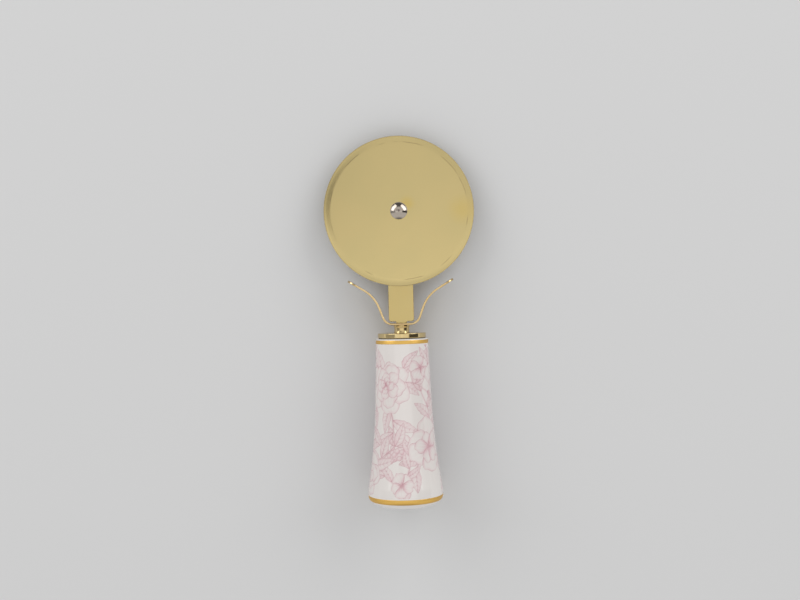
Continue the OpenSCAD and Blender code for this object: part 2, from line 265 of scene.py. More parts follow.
class MetalSettings(bpy.types.PropertyGroup):
    """Colours of the metals."""

    satin: colour("Satin gold", "Colour of the blade", (0.612, 0.487, 0.228))
    satin_cool: colour("Satin gold, cool", "Its cooler patches", (0.535, 0.45, 0.213))
    # The arm's colour is the blade's satin gold darkened as painted shade, for the guard's shadow on the arm
    satin_arm_painted_shade: colour("Satin gold, arm", "Colour of the arm", (0.54, 0.412, 0.172))
    # This edge colour also serves the painted shade along the blade's rim
    satin_edge: colour("Satin gold, edge", "Lacquer lines and the worn cutting edge", (0.36, 0.28, 0.13))
    satin_warm: colour("Satin gold, warm", "The thick lacquer beside the rivet", (0.62, 0.45, 0.12))
    polished: colour("Polished gold", "Colour of neck and collar", (0.67, 0.53, 0.275))
    polished_deep: colour("Polished gold, deep", "Its deeper patches", (0.60, 0.45, 0.212))
    # The guard's colour is the polished gold made darker and pinker: a painted reflection of dim warm
    # surroundings on its edge
    guard: colour("Guard", "Colour of the finger guard", (0.60, 0.455, 0.242))
    guard_deep: colour("Guard, deep", "Its deeper patches", (0.54, 0.39, 0.188))
    steel: colour("Steel", "Colour of the rivet", (0.50, 0.44, 0.38))
    steel_dull: colour("Steel, dull", "Its duller specks", (0.40, 0.35, 0.30))
    steel_dimple: colour("Steel, dimple", "Its dull dimple", (0.22, 0.18, 0.165))
    gilt: colour("Gilding", "Colour of the fired bands", (0.82, 0.525, 0.152))
    gilt_deep: colour("Gilding, deep", "Its thinner streaks", (0.74, 0.44, 0.10))


class StageSettings(bpy.types.PropertyGroup):
    """Camera, floor and light."""

    eye_height: length("Eye height", "Camera above the plane of the handle's axis", 631.1)
    eye_along: length("Eye along", "Camera's place along the handle's axis", 124.0)
    eye_across: length("Eye across", "Camera's place to the left of the axis", 0.6)
    roll: angle("Roll", "Turn of the picture", -1.44)
    lens: number("Lens", "Focal length in millimetres", 47.25)
    floor_colour: colour("Floor", "Colour of the plain floor", (0.62, 0.62, 0.62))
    floor_size: length("Floor size", "Half the floor's width", 3000.0)
    level: number("Level", "Brightness of the plain surrounding light", 0.62)
    backdrop: number("Backdrop", "Brightness of the surroundings as the camera sees them", 0.75)
    foot_light: number("Foot light", "Brightness of the light from beyond the handle's end", 1.0)
    near_level: number("Near level", "Reflected brightness above the handle", 1.24)
    far_level: number("Far level", "Reflected brightness above the blade's far edge", 0.93)
    low_level: number("Low level", "Reflected brightness towards the handle's end", 0.86)
    rim_level: number("Rim level", "Reflected brightness near the floor beyond the handle's end", 0.30)
    side_share: number("Side share", "Share of the reflected brightness left at both sides", 0.88)
    shade_level: number("Shade level", "Reflected brightness of the shade to the left", 0.12)
    wedge_level: number("Wedge level", "Reflected brightness between the soft boxes", 0.15)
    flag_level: number("Flag level", "Brightness of the dark flags at both sides", 0.07)
    box_power: number("Soft box power", "Watts of each soft box", 25.2)
    box_width: length("Soft box width", "Width of each soft box", 2700.0)
    box_height: length("Soft box height", "Height of each soft box", 1380.0)
    box_distance: length("Soft box distance", "Distance of each soft box", 2700.0)
    box_swing: angle("Soft box swing", "Angle of each soft box from the blade's side of the axis", 52)
    box_rise: angle("Soft box rise", "Angle of each soft box above level", 30)


def rounded(corners, radii, steps, closed=False):
    """An outline with round corners. Each corner becomes an arc that touches both its sides: it starts the
    radius times the tangent of half the turn before the corner, and its points turn evenly round its
    centre."""
    corners = np.asarray(corners, float)
    points = []
    for i, (corner, radius) in enumerate(zip(corners, radii)):
        if radius == 0 or (not closed and i in (0, len(corners) - 1)):
            points.append(corner[None])
            continue
        into, out = corner - corners[i - 1], corners[(i + 1) % len(corners)] - corner
        into, out = into / np.linalg.norm(into), out / np.linalg.norm(out)
        turn = math.atan2(into[0] * out[1] - into[1] * out[0], into @ out)
        side = np.array([-into[1], into[0]]) * math.copysign(1, turn)
        centre = corner - into * radius * math.tan(abs(turn) / 2) + side * radius
        angles = np.linspace(0, abs(turn), steps + 1)[:, None]
        points.append(centre - radius * (side * np.cos(angles) - into * np.sin(angles)))
    return np.concatenate(points)


def outline_normals(points, closed=False):
    """Normals to the right of an outline: the line from the point before to the point after, turned a
    quarter. A long straight side outweighs a short arc step there, so flat stretches stay flat."""
    ahead, behind = np.roll(points, -1, 0), np.roll(points, 1, 0)
    if not closed:
        ahead[-1], behind[0] = points[-1], points[0]
    along = ahead - behind
    along /= np.linalg.norm(along, axis=1, keepdims=True)
    return np.stack([along[:, 1], -along[:, 0]], 1)


def make_piece(name, points, faces, normals=None):
    """A smooth mesh object from an array of points and arrays of faces. The determinants of all corner
    triples sum to six times the enclosed volume, and a negative sum turns every face to look outwards."""
    fans = np.concatenate([np.stack([f[:, 0], f[:, k], f[:, k + 1]], 1)
                           for f in faces for k in range(1, f.shape[1] - 1)])
    a, b, c = points[fans[:, 0]], points[fans[:, 1]], points[fans[:, 2]]
    inside_out = np.einsum("ij,ij->i", a, np.cross(b, c)).sum() < 0
    mesh = bpy.data.meshes.new(name)
    rows = [row for f in faces for row in (f[:, ::-1] if inside_out else f).tolist()]
    mesh.from_pydata(points.tolist(), [], rows)
    mesh.polygons.foreach_set("use_smooth", np.ones(len(rows), bool))
    if normals is not None:
        mesh.normals_split_custom_set_from_vertices(normals.tolist())
    piece = bpy.data.objects.new(name, mesh)
    bpy.context.scene.collection.objects.link(piece)
    return piece


def swept(pairs, steps):
    """Pairs (radial, axial) swept round an axis: pair i at step j of a turn becomes the vector (i, j)."""
    around = np.arange(steps) * TURN / steps
    spins = np.stack([np.sin(around), np.cos(around)], 1)
    axial = np.broadcast_to(pairs[:, 1:, None], (len(pairs), steps, 1))
    return np.concatenate([pairs[:, :1, None] * spins, axial], 2)


def revolve(name, profile, place, steps, closed=False):
    """A surface of revolution. profile holds (radius, height) rows with the outside to their right, and
    place maps (across, up, height) to the frame. A row on the axis becomes one pole point."""
    normals, rows = outline_normals(profile, closed), len(profile)
    ring, facing = swept(profile, steps), swept(normals, steps)
    poles = [] if closed else [i for i in (0, rows - 1) if profile[i, 0] < TINY]
    index = np.arange(rows * steps).reshape(rows, steps)
    low, high = (index, np.roll(index, -1, 0)) if closed else (index[:-1], index[1:])
    quads = np.stack([low, np.roll(low, -1, 1), np.roll(high, -1, 1), high], 2)
    fans = []
    for pole in poles:
        facing[pole] = [0, 0, math.copysign(1, normals[pole, 1])]
        near, sides = (quads[0], (2, 3)) if pole == 0 else (quads[-1], (0, 1))
        fans.append(np.stack([np.full(steps, index[pole, 0]), near[:, sides[0]], near[:, sides[1]]], 1))
    quads = quads[1 if 0 in poles else 0:-1 if rows - 1 in poles else None].reshape(-1, 4)
    points, facing = place(ring.reshape(-1, 3), 1), place(facing.reshape(-1, 3), 0)
    used = np.unique(np.concatenate([quads.ravel(), *[f.ravel() for f in fans]]))
    renumber = np.zeros(rows * steps, int)
    renumber[used] = np.arange(len(used))
    return make_piece(name, points[used], [renumber[f] for f in (quads, *fans)], facing[used])


def round_axle(points, moved):
    """Turned shapes on the blade's axle: height runs along +Z from the arm's middle plane."""
    return np.stack([points[:, 0], points[:, 1] + moved * AXLE[1], points[:, 2]], 1)


def round_handle(points, moved):
    """Turned shapes on the handle's axis: height runs along +Y from the foot, and a turn starts facing
    +Z."""
    return np.stack([points[:, 0], points[:, 2], points[:, 1]], 1)


def finish_piece(piece, body, slot, material, *nodes):
    """Gives a piece its material and its body, and hides the nodes that it stands for. Its slot is not used.
    """
    piece.data.materials.append(material)
    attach(piece, body)
    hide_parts(*nodes)


def weighted(piece):
    """Lets large flat faces set the shading of the corners that they share with narrow ones."""
    modifier = piece.modifiers.new("flat_faces_stay_flat", "WEIGHTED_NORMAL")
    modifier.weight = 100
    return piece


class Wiring:
    """A node tree being wired up. Each call adds a node and returns one of its outputs."""

    def __init__(self, tree):
        self.tree = tree

    def fill(self, socket, value):
        """Sets a socket to a value, or links another node's output to it."""
        if isinstance(value, bpy.types.NodeSocket):
            self.tree.links.new(value, socket)
        else:
            socket.default_value = value

    def node(self, kind, inputs=(), out=0, **settings):
        """Adds a node. inputs maps its sockets, by name or number, to values or outputs."""
        made = self.tree.nodes.new("ShaderNode" + kind)
        for key, value in settings.items():
            setattr(made, key, value)
        for key, value in dict(inputs).items():
            self.fill(made.inputs[key], value)
        return made.outputs[out]

    def math(self, operation, *values):
        """One step of arithmetic."""
        return self.node("Math", enumerate(values), operation=operation)

    def line(self, value, gain, base):
        """base, plus gain times a number."""
        return self.math("MULTIPLY_ADD", value, gain, base)

    def product(self, first, *others):
        """Several numbers multiplied."""
        for other in others:
            first = self.math("MULTIPLY", first, other)
        return first

    def between(self, value, low, high, to_low=0.0, to_high=1.0):
        """A smooth step from to_low to to_high, as value runs from low to high."""
        return self.node("MapRange", enumerate((value, low, high, to_low, to_high)),
                         interpolation_type="SMOOTHSTEP")

    def mix(self, factor, first, second):
        """A colour between two colours."""
        return self.node("Mix", {0: factor, 6: first, 7: second}, out=2, data_type="RGBA")

    def blend(self, factor, first, second):
        """A number between two numbers."""
        return self.node("Mix", {0: factor, 2: first, 3: second}, data_type="FLOAT")

    def part(self, vector, axis):
        """One coordinate of a vector: 0, 1 or 2 for X, Y or Z."""
        return self.node("SeparateXYZ", {0: vector}, out=axis)


class Surface(Wiring):
    """A new material round its Principled BSDF."""

    def __init__(self, name):
        self.material = bpy.data.materials.new(name)
        self.material.use_nodes = True
        super().__init__(self.material.node_tree)
        self.shader = self.tree.nodes["Principled BSDF"]

    def place(self, scale=(1, 1, 1), location=(0, 0, 0)):
        """Object coordinates, stretched and moved."""
        coordinates = self.node("TexCoord", out=3)
        return self.node("Mapping", {"Vector": coordinates, "Scale": scale, "Location": location})

    def noise(self, scale, detail=3.0, roughness=0.5, vector=None):
        """Smooth noise between nothing and one, of object coordinates unless it gets another vector."""
        vector = self.place() if vector is None else vector
        return self.node("TexNoise", {"Vector": vector, "Scale": scale, "Detail": detail,
                                      "Roughness": roughness})

    def bump(self, height, distance, strength=1.0):
        """A relief of that depth in metres."""
        return self.node("Bump", {"Height": height, "Distance": distance, "Strength": strength})

    def set(self, **inputs):
        """Fills the shader's sockets, named with underscores for spaces."""
        for key, value in inputs.items():
            self.fill(self.shader.inputs[key.replace("_", " ")], value)

    def finish(self, colour, marks, gain, base, relief, strength=1.0, **more):
        """Fills the shader: the marks set its roughness and its relief in metres. Returns the material."""
        self.set(Base_Color=colour, Roughness=self.line(marks, gain, base),
                 Normal=self.bump(marks, relief, strength), **more)
        return self.material


def rgba(value):
    """A colour property with full opacity."""
    return (*value, 1.0)


# Noise cells per metre across, along and through, for marks that run one way
ROLLED = (2600, 60, 2600)
POLISHED = (300, 2200, 300)
BRUSHED = (60, 1500, 60)
PRINT_LAYERS = ("ink", "tone", "wash")

# A distance that stands for no line nearby, and a width below anything drawn
NO_LINE = 2 * MM
HAIR = 0.01 * MM
# How far a patch reaches past a motif's length, and past that round the handle, whose radius changes
PATCH_MARGIN = 1.25
ROUND_MARGIN = 1.2


def satin_gold(surface, metal, plain, scratches, warmth=0.0, line=0.0):
    """Gold-toned steel with a satin grain, which sets its gloss and relief. Low broad noise clouds its plain
    colour, warmth thickens its lacquer, and line darkens it."""
    clouds = surface.between(surface.noise(scale=26.0, roughness=0.55), low=0.36, high=0.68)
    tone = surface.line(scratches, gain=0.25, base=surface.product(clouds, 0.30))
    gold = surface.mix(tone, rgba(plain), rgba(metal.satin_cool))
    gold = surface.mix(warmth, gold, rgba(metal.satin_warm))
    return surface.finish(surface.mix(line, gold, rgba(metal.satin_edge)), scratches, gain=0.10, base=0.17,
                          relief=0.6e-5, strength=0.35, Metallic=1.0)


def from_axle(surface, across=0.0, along=0.0):
    """The distance, as seen along the axle, from a place that lies across and along from it."""
    moved = surface.place(location=(-AXLE[0] - across, -AXLE[1] - along, 0))
    flat = surface.node("Mapping", {"Vector": moved, "Scale": (1, 1, 0)})
    return surface.node("VectorMath", {0: flat}, out=1, operation="LENGTH")


def turned_gold(metal, sizes):
    """The blade's finish. Its grain is noise of the distance from the axle, mixed with an even mottle. The
    lacquer is warmest beside the rivet and in a patch near the rim, a faint broken line wanders where the
    bevel starts, and the outermost rim is darkened, partly as worn coating and partly as painted shade
    standing in for the shadow along the cutting edge."""
    surface = Surface("satin_gold_turned")
    radius = from_axle(surface)
    across = surface.node("CombineXYZ", {0: radius})
    rings = surface.noise(scale=2400.0, detail=5.0, roughness=0.7, vector=across)
    grain = surface.blend(0.4, rings, surface.noise(scale=420.0, detail=2.0))
    ragged = surface.product(surface.noise(scale=300.0), sizes.ragged)
    stain = surface.math("ADD", from_axle(surface, sizes.stain_across, sizes.stain_along), ragged)
    patch = surface.math("ADD", from_axle(surface, sizes.patch_across), ragged)
    warmth = surface.math("MAXIMUM",
                          surface.between(stain, sizes.stain_reach, sizes.ragged / 2, to_high=sizes.stain),
                          surface.between(patch, sizes.patch_reach, sizes.ragged / 2, to_high=sizes.patch))
    wandering = surface.line(surface.noise(scale=120.0, detail=2.0), gain=sizes.wander, base=radius)
    from_bevel = surface.math("SUBTRACT", wandering, BLADE_HIGH[0] - sizes.bevel + sizes.wander / 2)
    broken = surface.between(surface.noise(scale=60.0, detail=2.0), low=0.48, high=0.60)
    drawn = surface.between(surface.math("ABSOLUTE", from_bevel), sizes.line_edge, sizes.line_core)
    # Painted shade and wear: the outermost rim darkens towards the edge colour
    worn_and_shaded = surface.between(radius, BLADE_HIGH[0] - sizes.worn_and_shaded_reach, BLADE_HIGH[0] - sizes.worn_and_shaded_full)
    line = surface.math("MAXIMUM", surface.product(drawn, broken, sizes.line),
                        surface.product(worn_and_shaded, sizes.worn_and_shaded))
    return satin_gold(surface, metal, metal.satin, grain, warmth, line)


def rolled_gold(metal):
    """The arm's finish: a grain of noise that is stretched along it, as on rolled strip. Its plain colour is
    the blade's satin gold darkened as painted shade, for the guard's shadow and dark reflections on the arm.
    """
    surface = Surface("satin_gold_rolled")
    grain = surface.noise(scale=1.0, detail=4.0, roughness=0.65, vector=surface.place(ROLLED))
    return satin_gold(surface, metal, metal.satin_arm_painted_shade, grain)


def polished_gold(name, tone, deep):
    """Polished plate: its tone drifts slowly, and faint polishing marks break the reflections."""
    surface = Surface(name)
    clouds = surface.between(surface.noise(scale=90.0), low=0.35, high=0.7)
    marks = surface.noise(scale=1.0, roughness=0.6, vector=surface.place(POLISHED))
    return surface.finish(surface.mix(clouds, rgba(tone), rgba(deep)), marks, gain=0.06, base=0.07,
                          relief=0.2e-5, strength=0.1, Metallic=1.0)


def rivet_steel(metal, dimple):
    """Bright rivet steel with fine tumbling marks, left dull in the front head's dimple at the axle."""
    surface = Surface("bright_steel")
    marks = surface.noise(scale=1800.0, detail=4.0, roughness=0.6)
    dull = surface.between(from_axle(surface), low=1.25 * dimple, high=0.7 * dimple)
    front = surface.between(surface.part(surface.place(), 2), BLADE_LOW[2], BLADE_HIGH[2])
    dull = surface.product(dull, front)
    steel = surface.mix(marks, rgba(metal.steel), rgba(metal.steel_dull))
    surface.set(Metallic=1.0, Base_Color=surface.mix(dull, steel, rgba(metal.steel_dimple)),
                Roughness=surface.blend(dull, surface.line(marks, gain=0.08, base=0.06), 0.6),
                Normal=surface.bump(marks, distance=0.4e-5, strength=0.25))
    return surface.material


def fired_gilding(metal):
    """Fired gold on glaze: it is laid with a brush, so its tone runs in streaks round the band."""
    surface = Surface("fired_gilding")
    streaks = surface.noise(scale=1.0, detail=4.0, roughness=0.6, vector=surface.place(BRUSHED))
    return surface.finish(surface.mix(streaks, rgba(metal.gilt), rgba(metal.gilt_deep)), streaks, gain=0.14,
                          base=0.34, relief=1e-5, strength=0.3, Metallic=1.0)


def printed_porcelain(look):
    """Glazed porcelain. The ink attribute is the distance to the nearest drawn line, so a smooth step
    across zero draws it, as strongly as the tone attribute says. The wash attribute tints the glaze. Noise
    lets both vary, and the foot is unglazed."""
    surface = Surface("printed_porcelain")
    place = surface.place()
    ink, tone, wash = (surface.node("Attribute", out=2, attribute_name=name) for name in PRINT_LAYERS)
    fleck = surface.noise(scale=1400.0, roughness=0.6, vector=place)
    drift = surface.noise(scale=210.0, vector=place)
    strength = surface.product(surface.between(ink, look.soft, -look.soft), tone,
                               surface.between(drift, low=0.25, high=0.7, to_low=0.62),
                               surface.between(fleck, low=0.2, high=0.5, to_low=0.78))
    tinted = surface.product(wash, surface.between(fleck, low=0.2, high=0.8, to_low=0.75, to_high=1.1))
    ground = surface.mix(tinted, rgba(look.glaze), rgba(look.tint))
    bare = surface.between(surface.part(place, 1), low=look.foot_line, high=0.4 * look.foot_line)
    specks = surface.noise(scale=2600.0, detail=2.0, vector=place)
    biscuit = surface.mix(specks, rgba(look.biscuit), rgba(look.biscuit_pale))
    surface.set(Base_Color=surface.mix(bare, surface.mix(strength, ground, rgba(look.ink)), biscuit),
                Roughness=surface.line(bare, gain=0.5, base=0.09), IOR=1.5,
                Normal=surface.bump(surface.noise(scale=150.0, detail=2.0, vector=place),
                                    distance=4e-5, strength=0.35))
    return surface.material


def plain_stuff(name, first, second, scale, rough, relief):
    """Any plain stuff: two tones mixed by noise, with a relief of the same noise."""
    surface = Surface(name)
    grain = surface.noise(scale, detail=4.0, roughness=0.6)
    return surface.finish(surface.mix(grain, rgba(first), rgba(second)), grain, gain=0.12, base=rough,
                          relief=relief)


class MakeBlade(bpy.types.Operator):
    """Blade: a thin disc with a ground bevel on both faces"""

    bl_idname = "pizza_cutter.make_blade"
    bl_label = "Blade"

    def execute(self, context):
        sizes = context.scene.cutter_blade
        outer, high = BLADE_HIGH[0], BLADE_HIGH[2]
        inner, middle, edge = outer - sizes.bevel, AXLE[2], sizes.edge / 2
        bow = middle + edge + (high - middle - edge) * sizes.bow_place / sizes.bevel + sizes.bow
        upper = [(outer, middle + edge), (outer - sizes.bow_place, bow), (inner, high), (sizes.bore, high)]
        lower = [(radius, 2 * middle - z) for radius, z in reversed(upper)]
        radii = [sizes.softening, sizes.blend, sizes.blend, sizes.softening] * 2
        profile = rounded(lower + upper, radii, steps=6, closed=True)
        piece = revolve("blade_disc", profile, round_axle, sizes.steps, closed=True)
        gold = turned_gold(context.scene.cutter_metal, sizes)
        finish_piece(piece, TURNING, "satin_gold_steel", gold, "blade")
        return {"FINISHED"}


def rivet_head(sizes, radius, height, pole):
    """A rivet head's corners and their rounding, from its rim's foot to the pole: a straight rim, then an
    arc of the ball that passes through the rim's top and the full height."""
    cap = height - sizes.head_rim
    ball = (radius**2 + cap**2) / (2 * cap)
    tilt = np.linspace(math.asin(radius / ball), math.asin(pole / ball), DOME_POINTS)
    arc = np.stack([ball * np.sin(tilt), height - ball + ball * np.cos(tilt)], 1)
    return np.concatenate([[(radius, 0)], arc]), [*[sizes.head_edge] * 2, *[0] * (len(arc) - 1)]


class MakeRivet(bpy.types.Operator):
    """Rivet: the domed front half with its hollow shank, and the rear half with its pin"""

    bl_idname = "pizza_cutter.make_rivet"
    bl_label = "Rivet"

    def execute(self, context):
        sizes = context.scene.cutter_blade
        steel = rivet_steel(context.scene.cutter_metal, sizes.dimple)
        back, pin_top, seat = ARM_LOW[2], REAR_HIGH[2], BLADE_HIGH[2] + sizes.play
        bore, bore_end = sizes.pin + sizes.pin_fit, pin_top + sizes.pin_gap
        head, edges = rivet_head(sizes, FRONT_HIGH[0], sizes.head, sizes.dimple)
        sink = np.linspace(0, 1, DIMPLE_POINTS)[1:]
        dimple = np.stack([sizes.dimple * (1 - sink),
                           head[-1, 1] - sizes.dimple_depth * np.sin(sink * QUARTER)], 1)
        shank = [(0, bore_end), (bore, bore_end), (bore, back), (sizes.shank, back), (sizes.shank, seat)]
        corners = np.concatenate([shank, head + (0, seat), dimple + (0, seat)])
        radii = [0, *[sizes.softening] * 4, *edges, *[0] * len(dimple)]
        profile = rounded(corners, radii, steps=4)
        front = revolve("rivet_front", profile, round_axle, sizes.rivet_steps)
        finish_piece(front, FIXED, "rivet_steel", steel, "front_rivet")
        head, edges = rivet_head(sizes, REAR_HIGH[0], back - REAR_LOW[2], 0)
        pin = [(0, pin_top), (sizes.pin, pin_top), (sizes.pin, back)]
        radii = [0, sizes.pin_lead, sizes.softening, *edges]
        profile = rounded(np.concatenate([pin, head * (1, -1) + (0, back)]), radii, steps=4)[::-1]
        rear = revolve("rivet_rear", profile, round_axle, sizes.rivet_steps)
        finish_piece(rear, FIXED, "rivet_steel", steel, "rear_rivet")
        return {"FINISHED"}


def arm_outline(sizes, seat_level):
    """The right half of the arm's outline, from the middle of the tang's end up to the middle of the round
    top."""
    half, tang, seat = ARM_HIGH[0], sizes.tang_width / 2, sizes.seat_width / 2
    shoulder = seat_level + sizes.seat_height
    turn = np.linspace(-QUARTER, -3 * QUARTER, NOTCH_POINTS)
    notch = np.stack([tang + sizes.notch * np.cos(turn), ARM_LOW[1] + sizes.notch * np.sin(turn)], 1)
    starts = np.arange(sizes.notch_pitch / 2, sizes.notch_stretch, sizes.notch_pitch)
    notches = np.concatenate([notch + (0, start) for start in starts])
    turn = np.linspace(0, QUARTER, CROWN_POINTS)
    crown = np.stack([half * np.cos(turn), AXLE[1] + half * np.sin(turn)], 1)
    crown[-1, 0] = 0
    foot = [(0, ARM_LOW[1]), (tang, ARM_LOW[1])]
    step = [(tang, seat_level), (seat, seat_level), (seat, shoulder), (half, shoulder)]
    radii = [0, sizes.toe, *[0] * len(notches), sizes.inside_corner, *[sizes.seat_corner] * 2, sizes.corner,
             *[0] * len(crown)]
    return rounded(np.concatenate([foot, notches, step, crown]), radii, steps=8)


class MakeArm(bpy.types.Operator):
    """Arm: a flat bar with softened edges, a round top, two shoulders and a notched tang"""

    bl_idname = "pizza_cutter.make_arm"
    bl_label = "Arm"

    def execute(self, context):
        sizes, bore = context.scene.cutter_arm, context.scene.cutter_blade.bore
        right = arm_outline(sizes, GUARD_LOW[1] + context.scene.cutter_guard.thickness)
        outline = np.concatenate([right, right[-2:0:-1] * (-1, 1)])
        outward = outline_normals(outline, closed=True)
        half, soft, tilt = ARM_HIGH[2], sizes.softening, np.linspace(0, QUARTER, SOFT_POINTS)
        inset = soft * (1 - np.cos(np.concatenate([tilt[::-1], tilt])))
        level = np.concatenate([half - soft * (1 - np.sin(tilt[::-1])), soft * (1 - np.sin(tilt)) - half])
        rings = outline[None] - inset[:, None, None] * outward[None]
        rings = np.concatenate([rings, np.broadcast_to(level[:, None, None], (*rings.shape[:2], 1))], 2)
        index = np.arange(rings.shape[0] * rings.shape[1]).reshape(rings.shape[:2])
        walls = np.stack([index[:-1], index[1:], np.roll(index[1:], -1, 1), np.roll(index[:-1], -1, 1)], 2)
        steps = sizes.hole_steps
        turn = QUARTER + np.arange(steps) * TURN / steps
        hole = np.stack([bore * np.cos(turn), AXLE[1] + bore * np.sin(turn)], 1)
        holes = np.concatenate([np.column_stack([hole, np.full(steps, z)]) for z in (half, -half)])
        over = index.size + np.arange(steps)
        under = over + steps
        faces = [walls.reshape(-1, 4), np.stack([over, np.roll(over, -1), np.roll(under, -1), under], 1)]
        crown, bottom = len(right) - 1, steps // 2
        for ring, rim, order in ((index[0], over, 1), (index[-1], under, -1)):
            right_half = np.concatenate([ring[:crown + 1], rim[:1], rim[:bottom - 1:-1]])
            left_half = np.concatenate([ring[crown:], ring[:1], rim[bottom::-1]])
            faces += [right_half[None, ::order], left_half[None, ::order]]
        piece = weighted(make_piece("arm_bar", np.concatenate([rings.reshape(-1, 3), holes]), faces))
        gold = rolled_gold(context.scene.cutter_metal)
        finish_piece(piece, FIXED, "satin_gold_steel", gold, "arm")
        return {"FINISHED"}


def guard_path(sizes, along):
    """Places and headings on the strip's middle line, at distances from the middle of its base: a flat
    base, an arc up, a straight leg, an arc back down to the wing's angle, and the straight wing. Also
    gives where each of them starts."""
    leg_turn, wing_turn = sizes.leg_angle, sizes.wing_angle
    lengths = [sizes.flat, sizes.bend * leg_turn, sizes.leg, sizes.flare * (leg_turn - wing_turn)]
    starts = np.concatenate([[0], np.cumsum(lengths)])
    flat, bend, leg, flare, wing = (np.clip(along - s, 0, n) for s, n in zip(starts, [*lengths, np.inf]))
    rise, fall = bend / sizes.bend, leg_turn - flare / sizes.flare
    x = (flat + sizes.bend * np.sin(rise) + leg * math.cos(leg_turn)
         + sizes.flare * (math.sin(leg_turn) - np.sin(fall)) + wing * math.cos(wing_turn))
    y = (sizes.bend * (1 - np.cos(rise)) + leg * math.sin(leg_turn)
         + sizes.flare * (np.cos(fall) - math.cos(leg_turn)) + wing * math.sin(wing_turn))
    return x, y, rise - flare / sizes.flare, starts


def guard_stations(sizes, slot, reach, corner, rim):
    """Distances along the strip, from its middle to its tip, at which it has a row of points."""
    _, _, _, (_, bend, leg, flare, wing) = guard_path(sizes, 0.0)
    tip = reach - corner + corner * np.sin(np.linspace(0, QUARTER, TIP_POINTS))
    return np.concatenate([
        [0, slot / 2, slot], np.linspace(bend, leg, BEND_POINTS), np.linspace(leg, flare, LEG_POINTS)[1:],
        np.linspace(flare, wing, FLARE_POINTS)[1:], np.linspace(wing, reach - corner, WING_POINTS)[1:-1],
        tip[tip < reach - 1.05 * sizes.softening], reach - rim[::-1]])


class MakeGuard(bpy.types.Operator):
    """Finger guard: one thin strip bent into a cup with two wings, slotted for the tang"""

    bl_idname = "pizza_cutter.make_guard"
    bl_label = "Finger guard"

    def execute(self, context):
        sizes, metal = context.scene.cutter_guard, context.scene.cutter_metal
        soft, half, half_width = sizes.softening, sizes.thickness / 2, GUARD_HIGH[2]
        slot, slot_side, wing_cos = sizes.slot_width / 2, sizes.slot_depth / 2, math.cos(sizes.wing_angle)
        far = 1.0
        far_x = guard_path(sizes, far)[0]
        reach = far - (far_x - GUARD_HIGH[0] + half * math.sin(sizes.wing_angle)) / wing_cos
        corner = sizes.tip / wing_cos
        rim = soft * (1 - np.cos(np.linspace(0, QUARTER, SOFT_POINTS)))
        stations = guard_stations(sizes, slot, reach, corner, rim)
        stations = np.concatenate([-stations[:0:-1], stations])
        sides = [slot_side, 0.45 * half_width, 0.8 * half_width, half_width - 1.5 * soft]
        sides = np.concatenate([sides, half_width - rim[::-1]]) / half_width
        across = np.concatenate([-sides[::-1], sides])
        past = np.clip((np.abs(stations) - (reach - corner)) / corner, 0, 1)
        z = (half_width - sizes.tip * (1 - np.sqrt(1 - past**2)))[:, None] * across
        from_edge = np.minimum(half_width * (1 - np.abs(across)), (reach - np.abs(stations))[:, None])
        sink = soft - np.sqrt(soft**2 - np.clip(soft - from_edge, 0, soft)**2)
        x, y, heading, _ = guard_path(sizes, np.abs(stations))
        x, y, heading = x[:, None], y[:, None] + GUARD_LOW[1] + half, heading[:, None]
        mirror = np.where(stations < 0, -1, 1)[:, None]
        sheets = [np.stack([mirror * (x - lift * np.sin(heading)), y + lift * np.cos(heading), z], 2)
                  for lift in (half - sink, sink - half)]
        index = np.arange(z.size).reshape(z.shape)
        cells = np.stack([index[:-1, :-1], index[1:, :-1], index[1:, 1:], index[:-1, 1:]], 2)
        in_slot = ((np.abs(stations[:-1] + stations[1:]) / 2 < slot)[:, None]
                   & (np.abs(across[:-1] + across[1:]) < TINY)[None])
        upper = cells[~in_slot]
        border = np.concatenate([index[:, 0], index[-1, 1:], index[-2::-1, -1], index[0, -2:0:-1]])
        low, high = np.flatnonzero(np.abs(np.abs(stations) - slot) < TINY)
        left = len(across) // 2 - 1
        hole = np.concatenate([index[low:high + 1, left], index[high:low - 1:-1, left + 1]])
        below = z.size
        faces = [upper, upper[:, ::-1] + below]
        for loop, order in ((border, -1), (hole, 1)):
            ahead = np.roll(loop, -1)
            faces.append(np.stack([loop, ahead, ahead + below, loop + below], 1)[:, ::order])
        points = np.concatenate([sheet.reshape(-1, 3) for sheet in sheets])
        piece = weighted(make_piece("guard_strip", points, faces))
        # The guard's darker, pinker tone is a painted reflection
        gold = polished_gold("guard_polish", metal.guard, metal.guard_deep)
        finish_piece(piece, FIXED, "polished_gold", gold, "finger_guard")
        return {"FINISHED"}


